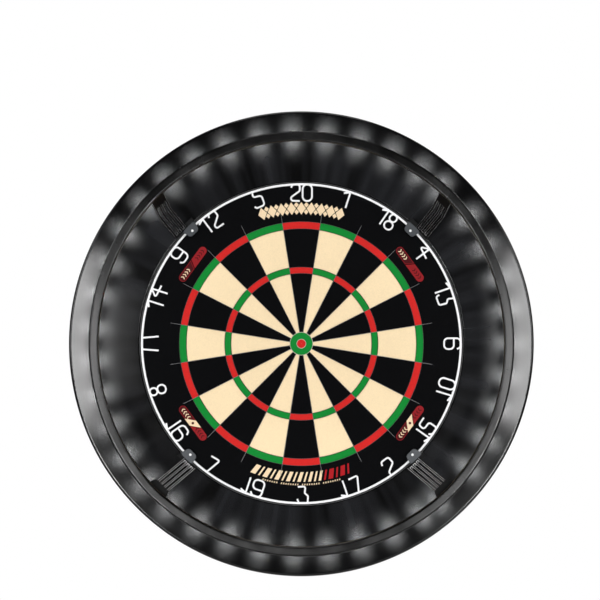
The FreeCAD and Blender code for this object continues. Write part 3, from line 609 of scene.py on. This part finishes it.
def stations(length, step):
    """Places along a run, closer together near its two ends."""
    edge = [s for s in EDGE_STEPS if s < length / 3]
    middle = length - 2 * edge[-1]
    count = max(1, round(middle / step))
    inner = [edge[-1] + middle * i / count for i in range(1, count)]
    return edge + inner + [length - s for s in reversed(edge)]


def sisal_depth(radius, angle, to_edge):
    """Depth of the sisal's face: fibre ends, a slow swell, and a roll down to the nearest blade."""
    place = at(radius, angle, 0)
    fibre = noise.noise(place * FIBRE_SCALE) * FIBRE_HEIGHT
    swell = noise.noise(place * SWELL_SCALE) * SWELL_HEIGHT
    return FACE - SWELL_HEIGHT - BULGE * math.exp(-to_edge / BULGE_REACH) + fibre + swell


def sisal_sections(bm, inner, outer, numbers, slot_end=None):
    """Sections of a ring of sisal, by their numbers from the top, made solid down to the dye's depth.

    Slots part them up to slot_end, or all the way. Past slot_end neighbours join.
    """
    slot_end = slot_end or outer
    gap = BLADE_SLOT / 2
    radii = [inner + s for s in stations(slot_end - inner, GRID_STEP)]
    last_slotted = len(radii) - 1
    if slot_end < outer:
        radii += [slot_end + s for s in stations(outer - slot_end, GRID_STEP)][1:]
    width = math.radians(SECTION_ANGLE) * (inner + outer) / 2
    shares = [s / width for s in stations(width, GRID_STEP)]
    rows, columns = len(radii) - 1, len(shares) - 1
    bottom_rows = sorted({0, last_slotted, rows})
    top, bottom = {}, {}
    for n in numbers:
        for i, radius in enumerate(radii):
            half = math.radians(SECTION_ANGLE / 2) - math.asin(gap / radius)
            for j, share in enumerate(shares):
                off = half * (2 * share - 1)
                angle = n * SECTION_ANGLE + math.degrees(off)
                to_side = radius * (half - abs(off)) if i <= last_slotted else NO_EDGE
                to_edge = min(radius - inner, outer - radius, to_side)
                top[n, i, j] = bm.verts.new(at(radius, angle, sisal_depth(radius, angle, to_edge)))
                if i in bottom_rows:
                    bottom[n, i, j] = bm.verts.new(at(radius, angle, DYE_BACK))
    for n in numbers:
        following = (n + 1) % SECTIONS
        for i in range(rows):
            for j in range(columns):
                bm.faces.new((top[n, i, j], top[n, i + 1, j], top[n, i + 1, j + 1], top[n, i, j + 1]))
            if i >= last_slotted:
                near, far = top[n, i, columns], top[n, i + 1, columns]
                bm.faces.new((near, far, top[following, i + 1, 0], top[following, i, 0]))
        for low, high in zip(bottom_rows, bottom_rows[1:]):
            for j in range(columns):
                k = j + 1
                bm.faces.new((bottom[n, low, j], bottom[n, low, k], bottom[n, high, k], bottom[n, high, j]))
            if low >= last_slotted:
                near, far = bottom[n, low, columns], bottom[n, high, columns]
                bm.faces.new((near, bottom[following, low, 0], bottom[following, high, 0], far))
        for i in (0, rows):
            for j in range(columns):
                bm.faces.new((top[n, i, j], top[n, i, j + 1], bottom[n, i, j + 1], bottom[n, i, j]))
        for j in (0, columns):
            side = [top[n, i, j] for i in range(last_slotted + 1)]
            bm.faces.new(side + [bottom[n, last_slotted, j], bottom[n, 0, j]])
        if slot_end < outer:
            for i in (last_slotted, rows):
                upper, lower = top[n, i, columns], bottom[n, i, columns]
                bm.faces.new((upper, top[following, i, 0], bottom[following, i, 0], lower))


def sisal_disc(bm, inner, outer, columns):
    """A round piece of sisal, a ring or a full disc."""
    radii = [inner + s for s in stations(outer - inner, GRID_STEP)]
    rings = []
    for radius in radii:
        ring = []
        for k in range(columns):
            angle = k * 360 / columns
            to_edge = min(outer - radius, radius - inner if inner > MM else NO_EDGE)
            ring.append(bm.verts.new(at(radius, angle, sisal_depth(radius, angle, to_edge))))
        rings.append(ring)
    low = []
    for radius in (inner, outer):
        low.append([bm.verts.new(at(radius, k * 360 / columns, DYE_BACK)) for k in range(columns)])
    walls = [low[0]] + rings + [low[1]]
    for here, there in zip(walls, walls[1:] + walls[:1]):
        for k in range(columns):
            m = (k + 1) % columns
            bm.faces.new((here[k], there[k], there[m], here[m]))


def build_sisal():
    """The dyed beds, the field outside them and the two bulls."""
    gap = BLADE_SLOT / 2
    r = BLADE_RADII
    singles = (("outer_bull", "treble_inner"), ("treble_outer", "double_inner"))
    scoring = (("treble_inner", "treble_outer"), ("double_inner", "double_outer"))
    beds = (
        ("black", singles, 0),
        ("cream", singles, 1),
        ("red", scoring, 0),
        ("green", scoring, 1),
    )
    for colour, rings, first in beds:
        bm = bmesh.new()
        for inner, outer in rings:
            sisal_sections(bm, r[inner] + gap, r[outer] - gap, range(first, SECTIONS, 2))
        slot = f"sisal_{colour}"
        nodes = (f"{colour}_beds",)
        new_piece(f"{colour}_sisal", bm, "board", LOOKS[slot], slot, nodes, SISAL_SHARP_ANGLE)
    field, outer_bull, bullseye = bmesh.new(), bmesh.new(), bmesh.new()
    sisal_sections(field, r["double_outer"] + gap, FIELD_OUTER, range(SECTIONS), SLOT_END)
    sisal_disc(outer_bull, r["bullseye"] + gap, r["outer_bull"] - gap, OUTER_BULL_COLUMNS)
    sisal_disc(bullseye, BULLSEYE_HOLE, r["bullseye"] - gap, BULLSEYE_COLUMNS)
    for bm, name, slot, node in (
        (field, "outer_field_sisal", "sisal_black", "sisal_outer_field"),
        (outer_bull, "outer_bull_sisal", "sisal_green", "outer_bull"),
        (bullseye, "bullseye_sisal", "sisal_red", "bullseye"),
    ):
        new_piece(name, bm, "board", LOOKS[slot], slot, (node,), SISAL_SHARP_ANGLE)


# Prints on the black field: lozenges, stripes and chevrons, with no lettering


INK_STEP = 0.03 * MM
INK_BACK = FACE - 0.12 * MM
INK_FRONT = FACE + 0.08 * MM
INK_OVER = INK_FRONT + INK_STEP
INK_TOP = INK_OVER + INK_STEP
TOP_BAND_RADIUS = 188.5 * MM
TOP_BAND_HALF_ANGLE = 18.7
TOP_BAND_HEIGHT = 17.5 * MM
LOZENGES = 9
LOZENGE_GAP = 1.2 * MM
SMALL_LOZENGE = (6.6 * MM, 7.6 * MM)
SMALL_LOZENGE_RISE = 4.9 * MM
LOW_BAND_RADIUS = 185.5 * MM
LOW_BAND_HEIGHT = 13.5 * MM
LOW_BAND_HALF_ANGLE = 21.0
LOW_BAND_LEAN = 4.5 * MM
CREAM_STRIPES_MM = (7.0, 2.4, 6.4, 2.4, 5.8, 2.4, 5.2, 2.4, 4.6, 2.4, 4.0, 2.4, 3.6)
RED_STRIPES_MM = (2.4, 6.4, 2.4, 6.4, 2.4)
TICKS = 34
TICK_GROUP = 9
TICK_PITCH = 3.1 * MM
TICK_RISE = 10.6 * MM
TICK_SIZE = (1.3 * MM, 2.2 * MM)
TICK_LEAN = 0.4 * MM


def curved_place(middle_angle, middle_radius):
    """Maps (across, up) to the board, bent round its axis at a middle angle and radius."""
    return lambda across, up, depth: at(
        middle_radius + up, middle_angle + math.degrees(across / middle_radius), depth
    )


def flat_place(middle_angle, middle_radius):
    """Maps (across, up) to the board, on the tangent at a middle angle and radius."""
    turn = Matrix.Rotation(math.radians(middle_angle), 3, "Y")
    return lambda across, up, depth: turn @ Vector((across, -depth, middle_radius + up))


def shifted(corners, across, up=0.0):
    """The corners, moved."""
    return [(a + across, u + up) for a, u in corners]


def rectangle(width, height):
    right, top = width / 2, height / 2
    return [(-right, -top), (right, -top), (right, top), (-right, top)]


def slanted_bar(width, height, lean):
    """Corners of a bar that leans to one side."""
    return [(a + lean * u / height, u) for a, u in rectangle(width, height)]


def lozenge(width, height):
    return [(width / 2, 0), (0, height / 2), (-width / 2, 0), (0, -height / 2)]


def build_top_band():
    """A cream band of tall lozenges, with small ones between their points."""
    bm = bmesh.new()
    place = curved_place(0, TOP_BAND_RADIUS)
    pitch = 2 * math.radians(TOP_BAND_HALF_ANGLE) * TOP_BAND_RADIUS / LOZENGES
    for i in range(LOZENGES):
        across = (i - (LOZENGES - 1) / 2) * pitch
        tall = shifted(lozenge(pitch - LOZENGE_GAP, TOP_BAND_HEIGHT), across)
        prism(bm, tall, place, INK_BACK, INK_FRONT)
        if i < LOZENGES - 1:
            for up in (-SMALL_LOZENGE_RISE, SMALL_LOZENGE_RISE):
                small = shifted(lozenge(*SMALL_LOZENGE), across + pitch / 2, up)
                prism(bm, small, place, INK_BACK, INK_FRONT)
    new_piece("top_band_print", bm, "board", INK_CREAM, "sisal_cream")


def build_low_band():
    """Cream and red slanted stripes, and a row of fine ticks in groups."""
    cream, red = bmesh.new(), bmesh.new()
    place = curved_place(180, LOW_BAND_RADIUS)
    half = math.radians(LOW_BAND_HALF_ANGLE) * LOW_BAND_RADIUS
    widths = [width * MM for width in CREAM_STRIPES_MM + RED_STRIPES_MM]
    gap = (2 * half - sum(widths)) / (len(widths) - 1)
    across = half
    for i, width in enumerate(widths):
        bar = shifted(slanted_bar(width, LOW_BAND_HEIGHT, LOW_BAND_LEAN), across - width / 2)
        prism(cream if i < len(CREAM_STRIPES_MM) else red, bar, place, INK_BACK, INK_FRONT)
        across -= width + gap
    for i in range(TICKS):
        if (i + 1) % TICK_GROUP:
            across = (i - (TICKS - 1) / 2) * TICK_PITCH
            tick = shifted(slanted_bar(*TICK_SIZE, TICK_LEAN), across, TICK_RISE)
            prism(cream, tick, place, INK_BACK, INK_FRONT)
    new_piece("low_band_print", cream, "board", INK_CREAM, "sisal_cream")
    new_piece("low_band_red_print", red, "board", INK_RED, "sisal_red")


BADGE_ANGLE = 53.8
BADGE_RADIUS = 187.2 * MM
BADGE_LENGTH = 57.6 * MM
BADGE_HEIGHT = 11.2 * MM
BADGE_LINE = 1.0 * MM
UPPER_LEAN = 7.0 * MM
LOWER_LEAN = 11.5 * MM
UPPER_CUT = 0.6 * MM
LOWER_CUT = 7.0 * MM
MIDDLE_GAP = 0.9 * MM
PILL_STEPS = 12
CHEVRONS = 4
CHEVRON_FIRST = 10.0 * MM
CHEVRON_PITCH = 4.3 * MM
CHEVRON_SIZE = (3.4 * MM, 5.6 * MM)
CHEVRON_STROKE = 1.5 * MM
DOT_RADIUS = 1.8 * MM
DOT_STEPS = 24
BADGE_INKS = {
    "cream": (INK_CREAM, "sisal_cream"),
    "red": (INK_DULL_RED, "sisal_red"),
    "dark_red": (INK_DARK_RED, "sisal_red"),
    "maroon": (INK_MAROON, "sisal_red"),
}


def half_pill(cut, length, height, lean):
    """Corners of a pill's right end, from a slanted cut to its round end."""
    radius = height / 2
    centre = length / 2 - radius
    turns = [math.radians(180 * i / PILL_STEPS - 90) for i in range(PILL_STEPS + 1)]
    end = [(centre + radius * math.cos(t), radius * math.sin(t)) for t in turns]
    return [(cut - lean / 2, -radius)] + end + [(cut + lean / 2, radius)]


def turned_round(corners):
    """The corners, turned by half a turn."""
    return [(-across, -up) for across, up in corners]


def chevron(width, height, stroke):
    """Two strokes that meet in a point to the right, as one upper and one lower half."""
    right, top = width / 2, height / 2
    upper = [(-right, top), (right - stroke, 0), (right, 0), (stroke - right, top)]
    return [upper, [(a, -u) for a, u in reversed(upper)]]


def dot():
    turns = [2 * math.pi * i / DOT_STEPS for i in range(DOT_STEPS)]
    return [(DOT_RADIUS * math.cos(t), DOT_RADIUS * math.sin(t)) for t in turns]


STRAIGHT = 1e-6
LEAST_HALF_SINE = 0.5


def inset(corners, distance):
    """A convex shape drawn in by a distance all round."""
    points = [Vector(corner) for corner in corners]
    middle = sum(points, Vector((0, 0))) / len(points)
    inner = []
    for i, point in enumerate(points):
        before = (points[i - 1] - point).normalized()
        after = (points[(i + 1) % len(points)] - point).normalized()
        bisector = before + after
        if bisector.length < STRAIGHT:
            bisector = Vector((-after.y, after.x))
        bisector.normalize()
        if bisector.dot(middle - point) < 0:
            bisector.negate()
        half_sine = max(LEAST_HALF_SINE, math.sin(before.angle(after) / 2))
        inner.append(tuple(point + bisector * distance / half_sine))
    return inner


def build_badges():
    """Pill-shaped badges beside the doubles, each parted by slanted cuts, with chevrons inside."""
    inks = {name: bmesh.new() for name in BADGE_INKS}
    for upper in (True, False):
        angle = BADGE_ANGLE if upper else 180 - BADGE_ANGLE
        cut, lean = (UPPER_CUT, UPPER_LEAN) if upper else (LOWER_CUT, LOWER_LEAN)
        for side in (-1, 1):
            place = flat_place(side * angle, BADGE_RADIUS)
            bright = half_pill(cut, BADGE_LENGTH, BADGE_HEIGHT, lean)
            dark = turned_round(bright)
            if not upper:
                bright, dark = dark, bright
            prism(inks["red"], bright, place, INK_BACK, INK_FRONT)
            prism(inks["maroon"], dark, place, INK_BACK, INK_FRONT)
            prism(inks["dark_red"], inset(dark, BADGE_LINE), place, INK_BACK, INK_OVER)
            for i in range(CHEVRONS):
                across = CHEVRON_FIRST + i * CHEVRON_PITCH
                for stroke in chevron(*CHEVRON_SIZE, CHEVRON_STROKE):
                    on_right, on_left = shifted(stroke, across), shifted(stroke, -across)
                    on_bright, on_dark = (on_right, on_left) if upper else (on_left, on_right)
                    prism(inks["cream"], on_dark, place, INK_BACK, INK_TOP)
                    prism(inks["dark_red"], on_bright, place, INK_BACK, INK_OVER)
            if not upper:
                middle = slanted_bar(2 * (cut - MIDDLE_GAP), BADGE_HEIGHT, lean)
                prism(inks["cream"], middle, place, INK_BACK, INK_FRONT)
                prism(inks["dark_red"], dot(), place, INK_BACK, INK_OVER)
    for name, bm in inks.items():
        new_piece(f"badge_{name}_print", bm, "board", *BADGE_INKS[name])


# The surround's skin, turned finely enough for its reflections


SKIN = 2.5 * MM
SURROUND_INNER = 226.3 * MM
SURROUND_INNER_FRONT = 43.0 * MM
SURROUND_COLUMNS = 360
LIP_ROUND = 0.6 * MM
INNER_ROUND = 1.5 * MM
OUTER_ROUND = 3.4 * MM
INSIDE_ROUND = 3.5 * MM
ROUND_STEPS = 6
DISH_ANGLE = 2.74
DISH_ROWS = 8
DISH_END_ROW = 0.4 * MM
NOTCH_BACK = 37.4 * MM
NOTCH_OUTER = 233.1 * MM
NOTCH_SPAN = 0.6 * MM
NOTCH_STEPS = 6
CUTTER_INNER = SURROUND_INNER - 2 * MM
CUTTER_FRONT = SURROUND_FRONT + 10 * MM
CORNERS = ("upper_right", "upper_left", "lower_right", "lower_left")


def surround_outline():
    """The skin's section, which rises outwards as a shallow dish and wraps round both edges."""
    dish = math.tan(math.radians(DISH_ANGLE))
    outer_front = SURROUND_INNER_FRONT + dish * (SURROUND_OUTER - SURROUND_INNER)
    points = [
        (SURROUND_INNER, SURROUND_BACK),
        (SURROUND_INNER, SURROUND_INNER_FRONT),
        (SURROUND_OUTER, outer_front),
        (SURROUND_OUTER, SURROUND_BACK),
        (SURROUND_OUTER - SKIN, SURROUND_BACK),
        (SURROUND_OUTER - SKIN, outer_front - SKIN - SKIN * dish),
        (SURROUND_INNER + SKIN, SURROUND_INNER_FRONT - SKIN + SKIN * dish),
        (SURROUND_INNER + SKIN, SURROUND_BACK),
    ]
    radii = [LIP_ROUND, INNER_ROUND, OUTER_ROUND, LIP_ROUND, LIP_ROUND, INSIDE_ROUND, 0, LIP_ROUND]
    return rounded_outline(points, radii, ROUND_STEPS)


def with_dish_rows(outline):
    """The outline with more points along its dish. Those close to its ends keep its shading flat."""
    lengths = [(Vector(point) - Vector(outline[i - 1])).length for i, point in enumerate(outline)]
    longest = lengths.index(max(lengths))
    start, end = Vector(outline[longest - 1]), Vector(outline[longest])
    margin = DISH_END_ROW / (end - start).length
    shares = [margin] + [i / DISH_ROWS for i in range(1, DISH_ROWS)] + [1 - margin]
    added = [tuple(start.lerp(end, share)) for share in shares]
    return outline[:longest] + added + outline[longest:]


def notch_cutters():
    """Sectors where the light's four feet sink into the surround, as wide as their holders need."""
    bm = bmesh.new()
    extra = math.degrees(NOTCH_SPAN / SURROUND_INNER)
    section = (
        (CUTTER_INNER, NOTCH_BACK),
        (NOTCH_OUTER, NOTCH_BACK),
        (NOTCH_OUTER, CUTTER_FRONT),
        (CUTTER_INNER, CUTTER_FRONT),
    )
    for corner in CORNERS:
        holder = frame["nodes"][f"magnet_holder_{corner}"].data
        angles = [polar(vert.co)[1] for vert in holder.vertices]
        first, last = min(angles) - extra, max(angles) + extra
        loops = []
        for i in range(NOTCH_STEPS + 1):
            angle = first + (last - first) * i / NOTCH_STEPS
            loops.append([bm.verts.new(at(radius, angle, depth)) for radius, depth in section])
        for here, there in zip(loops, loops[1:]):
            for j in range(len(section)):
                k = (j + 1) % len(section)
                bm.faces.new((here[j], here[k], there[k], there[j]))
        bm.faces.new(loops[0])
        bm.faces.new(loops[-1])
    return mesh_object("notches", bm)


def build_surround():
    """The glossy skin with its four notches cut."""
    bm = bmesh.new()
    lathe(bm, with_dish_rows(surround_outline()), SURROUND_COLUMNS)
    look = LOOKS["surround_gloss"]
    skin = new_piece("surround_shell", bm, "surround", look, "surround_gloss", ("surround_skin",))
    cutter = notch_cutters()
    cut = skin.modifiers.new("notches", "BOOLEAN")
    cut.operation = "DIFFERENCE"
    cut.solver = "EXACT"
    cut.object = cutter
    graph = bpy.context.evaluated_depsgraph_get()
    mesh = bpy.data.meshes.new_from_object(skin.evaluated_get(graph))
    skin.modifiers.clear()
    skin.data = mesh
    mesh.set_sharp_from_angle(angle=math.radians(SHARP_ANGLE))
    bpy.data.objects.remove(cutter)


# Lamps on the light's back, and the small parts between them


LAMP_SIZE = 5.0 * MM
LAMP_CUT_CORNER = 0.5 * MM
LAMP_WELL = 3.9 * MM
LAMP_WELL_DEPTH = 0.35 * MM
LAMP_WELL_SLOPE = 0.08 * MM


def lamp_places():
    """Each lamp's centre, as radius, angle, back and front depth."""
    places = []
    for low, high, centre in solids_of("led_chips"):
        radius, angle = polar(centre)
        places.append((radius, angle % 360, -high.y, -low.y))
    return sorted(places, key=lambda place: place[1])


def build_lamps(places):
    """White lamp bodies, each with a well of glowing phosphor that faces the wall."""
    bm = bmesh.new()
    half = LAMP_SIZE / 2
    cut = half - LAMP_CUT_CORNER
    body = [(-half, -half), (half, -half), (half, cut), (cut, half), (-half, half)]
    for radius, angle, back, front in places:
        place = flat_place(angle, radius)
        base = [bm.verts.new(place(a, u, front)) for a, u in body]
        rim = [bm.verts.new(place(a, u, back)) for a, u in body]
        bm.faces.new(base)
        for i in range(len(body)):
            j = (i + 1) % len(body)
            bm.faces.new((base[i], rim[i], rim[j], base[j]))
        top = bm.faces.new(rim)
        bmesh.ops.inset_region(bm, faces=[top], thickness=(LAMP_SIZE - LAMP_WELL) / 2)
        bmesh.ops.inset_region(bm, faces=[top], thickness=LAMP_WELL_SLOPE)
        for vert in top.verts:
            vert.co.y -= LAMP_WELL_DEPTH
        top.material_index = 1
    looks = [LOOKS["led_lamp"], LAMP]
    new_piece("lamp_packages", bm, "ring_light", looks, "led_lamp", ("led_chips",))


PAD_SIZE = (1.4 * MM, 3.4 * MM)
PAD_OFFSET = 3.1 * MM
PAD_HEIGHT = 0.12 * MM
RESISTOR_SIZE = (2.0 * MM, 1.4 * MM)
RESISTOR_GAP = 0.05 * MM
RESISTOR_HEIGHT = 0.62 * MM
CAP_SIZE = (0.55 * MM, 1.5 * MM)
CAP_OFFSET = 1.25 * MM
CAP_HEIGHT = 0.66 * MM
PART_EDGE = 0.08 * MM
WIDEST_STEP = 12
BOARD_ANGLE = 90


def board_number(angle):
    """Which of the four lamp boards an angle lies on. The first is centred on the top."""
    return int((angle + BOARD_ANGLE / 2) // BOARD_ANGLE)


def build_board_parts(places):
    """Solder pads beside each lamp, and a small resistor between neighbours."""
    pads, bodies = bmesh.new(), bmesh.new()
    mask = depths("led_board_top")[0]
    for i, (radius, angle, _, _) in enumerate(places):
        place = flat_place(angle, radius)
        for side in (-1, 1):
            pad = shifted(rectangle(*PAD_SIZE), side * PAD_OFFSET)
            prism(pads, pad, place, mask - PAD_HEIGHT, mask)
        next_radius, next_angle = places[(i + 1) % len(places)][:2]
        step = (next_angle - angle) % 360
        if step > WIDEST_STEP or board_number(angle) != board_number(angle + step):
            continue
        middle = flat_place(angle + step / 2, (radius + next_radius) / 2)
        prism(bodies, rectangle(*RESISTOR_SIZE), middle, mask - RESISTOR_HEIGHT, mask - RESISTOR_GAP)
        for side in (-1, 1):
            cap = shifted(rectangle(*CAP_SIZE), side * CAP_OFFSET)
            prism(pads, cap, middle, mask - CAP_HEIGHT, mask)
    for bm in (pads, bodies):
        soften_edges(bm, PART_EDGE, STEPPED_PROFILE)
    new_piece("lamp_board_solder", pads, "ring_light", LOOKS["zinc_steel"], "zinc_steel")
    new_piece("lamp_board_resistors", bodies, "ring_light", LOOKS["wheel_plastic"], "wheel_plastic")


# CAD nodes that keep their shape, most with rounded edges


EDGE_ROUNDS_MM = {
    "wall_bracket": 0.5,
    "centre_screw": 0.25,
    "centre_washer": 0.25,
    "centre_insert": 0.25,
    "backing_board": 0.8,
    "steel_band": 0.2,
    "levelling_bases": 0.35,
    "number_ring_clips": 0.12,
    "corner_joiners": 0.4,
    "power_inlet": 0.4,
    "power_inlet_pin": 0.25,
    "foot_magnets": 0.3,
    "foot_tabs": 0.45,
    "surround_core": 0.8,
}
EDGE_ROUNDS_BY_KIND_MM = {
    "levelling_wheel_": 0.35,
    "levelling_foot_": 0.3,
    "leg_": 0.6,
    "magnet_holder_": 0.4,
    "light_cover_": 0.25,
    "led_board_": 0.1,
}


def edge_round(node):
    """The radius of a node's edges, or 0 where they stay sharp."""
    for kind, size in EDGE_ROUNDS_BY_KIND_MM.items():
        if node.startswith(kind):
            return size * MM
    return EDGE_ROUNDS_MM.get(node, 0) * MM


def finish_nodes():
    """Every node that no piece stands for gets its look, and its edges rounded where that is listed."""
    for node, cad in frame["nodes"].items():
        if cad.hide_render:
            continue
        slot = SLOTS[node]
        own_looks = [look for start, look in NODE_LOOKS.items() if node.startswith(start)]
        look = own_looks[0] if own_looks else LOOKS[slot]
        radius = edge_round(node)
        if radius:
            # Legs get a pale painted highlight on their edges that face the player
            highlight_look = LEG_PAINTED_HIGHLIGHT if node.startswith("leg_") else None
            rounded_copy(node, radius, look, slot, highlight_look)
        else:
            cad.data.materials.clear()
            cad.data.materials.append(look)


# Studio and camera


CAMERA_DISTANCE = 6.0
FRAME_WIDTH = 0.8352
AIM = Vector((-0.0019, -FACE, 0.0608))
SENSOR = 36.0
NEAREST = 0.1
FARTHEST = 50
FLOOR_RADIUS = 0.75
FLOOR_DROP = 0.12
FLOOR_THICKNESS = 0.02
FLOOR_ROUND = 0.003
FLOOR_COLUMNS = 128
AMBIENT_STRENGTH = 0.05


def build_floor():
    """A round pale floor below the object."""
    look = Look("pale_floor", (0.93, 0.93, 0.92), 0.6)
    speckle = look.noise(120, detail=4)
    look.set("Base Color", look.shade(speckle, 0.97, 1.02))
    look.set("Roughness", look.ramp(speckle, 0.5, 0.7))
    top = CAD_LOW.z - FLOOR_DROP
    bm = bmesh.new()
    edge = (
        (FLOOR_RADIUS, -FLOOR_THICKNESS),
        (FLOOR_RADIUS, -FLOOR_ROUND),
        (FLOOR_RADIUS - FLOOR_ROUND, 0.0),
    )
    turns = [2 * math.pi * i / FLOOR_COLUMNS for i in range(FLOOR_COLUMNS)]
    loops = []
    for radius, up in edge:
        loops.append([bm.verts.new((radius * math.sin(t), radius * math.cos(t), top + up)) for t in turns])
    for here, there in zip(loops, loops[1:]):
        for i in range(FLOOR_COLUMNS):
            j = (i + 1) % FLOOR_COLUMNS
            bm.faces.new((here[i], here[j], there[j], there[i]))
    bm.faces.new(loops[-1])
    bm.faces.new(loops[0])
    floor = mesh_object("floor", bm)
    floor.data.materials.append(look.material)


def build_world():
    """A plain pale backdrop, with a dimmer soft light of its own."""
    world = bpy.data.worlds.new("studio")
    bpy.context.scene.world = world
    world.use_nodes = True
    tree = world.node_tree
    tree.nodes.clear()
    output = tree.nodes.new("ShaderNodeOutputWorld")
    seen = tree.nodes.new("ShaderNodeBackground")
    seen.inputs["Color"].default_value = WHITE
    seen.inputs["Strength"].default_value = 1.0
    ambient = tree.nodes.new("ShaderNodeBackground")
    ambient.inputs["Color"].default_value = WHITE
    ambient.inputs["Strength"].default_value = AMBIENT_STRENGTH
    path = tree.nodes.new("ShaderNodeLightPath")
    mix = tree.nodes.new("ShaderNodeMixShader")
    tree.links.new(path.outputs["Is Camera Ray"], mix.inputs["Fac"])
    tree.links.new(ambient.outputs[0], mix.inputs[1])
    tree.links.new(seen.outputs[0], mix.inputs[2])
    tree.links.new(mix.outputs[0], output.inputs["Surface"])


def area_light(name, place, target, width, height, power, spread=180):
    """A rectangular light that the camera doesn't see."""
    light = bpy.data.lights.new(name, "AREA")
    light.shape = "RECTANGLE"
    light.size = width
    light.size_y = height
    light.energy = power
    light.spread = math.radians(spread)
    lamp = new_object(name, light)
    lamp.location = place
    lamp.rotation_euler = (Vector(target) - Vector(place)).to_track_quat("-Z", "Y").to_euler()
    lamp.visible_camera = False


SOFT_PAIRS = {
    "front": ((2.2, -2.4, 0.5), 1.4, 27.5),
    "low": ((0.76, -3.05, -0.47), 0.4, 24),
    "back": ((2.0, 2.2, 1.2), 1.2, 14),
}
TOP_PLACE = (0, -0.6, 2.6)
TOP_SIZE = (1.6, 1.0)
TOP_POWER = 18
STRIP_INNER = 0.268
STRIP_WIDTH = 0.168
STRIP_DEPTH = 0.43
STRIP_AIM = 17 * MM
STRIP_RISE = 7 * MM
STRIP_SPREAD = 13
STRIP_HEIGHTS = (0.08, 0.16, 0.24)
STRIP_POWER_PER_HEIGHT = 0.058
FADE_INNER = 0.215
FADE_WIDTH = 0.06
FADE_HEIGHT = 0.15
FADE_POWER = 0.0003


def strip_light(name, side, inner, width, height, power):
    """A light with a narrow beam, which shows in the gloss of the surround's left or right side."""
    middle = side * (inner + width / 2)
    place = (middle, -STRIP_DEPTH, STRIP_RISE)
    aim = (middle + side * STRIP_AIM, -SURROUND_FRONT, STRIP_RISE)
    area_light(name, place, aim, width, height, power, STRIP_SPREAD)


def build_lights():
    """Soft lights in pairs and one above, and strips that show in the surround's gloss."""
    for side in (-1, 1):
        for name, ((across, ahead, up), size, power) in SOFT_PAIRS.items():
            area_light(f"{name}_{side}", (side * across, ahead, up), (0, 0, 0), size, size, power)
        for i, height in enumerate(STRIP_HEIGHTS):
            power = STRIP_POWER_PER_HEIGHT * height
            strip_light(f"strip_{side}_{i}", side, STRIP_INNER, STRIP_WIDTH, height, power)
    strip_light("fade", -1, FADE_INNER, FADE_WIDTH, FADE_HEIGHT, FADE_POWER)
    area_light("top", TOP_PLACE, (0, 0, 0), *TOP_SIZE, TOP_POWER)


def build_camera():
    """A distant camera in front of the bullseye, which looks a little above it."""
    data = bpy.data.cameras.new("camera")
    camera = new_object("camera", data)
    data.sensor_width = SENSOR
    data.lens = SENSOR * CAMERA_DISTANCE / FRAME_WIDTH
    data.clip_start = NEAREST
    data.clip_end = FARTHEST
    camera.location = (0, -FACE - CAMERA_DISTANCE, 0)
    camera.rotation_euler = (AIM - camera.location).to_track_quat("-Z", "Y").to_euler()
    bpy.context.scene.camera = camera


build_sisal()
build_top_band()
build_low_band()
build_badges()
build_surround()
lamps = lamp_places()
build_lamps(lamps)
build_board_parts(lamps)
finish_nodes()
build_floor()
build_world()
build_lights()
build_camera()
bpy.context.scene.view_settings.view_transform = "Standard"
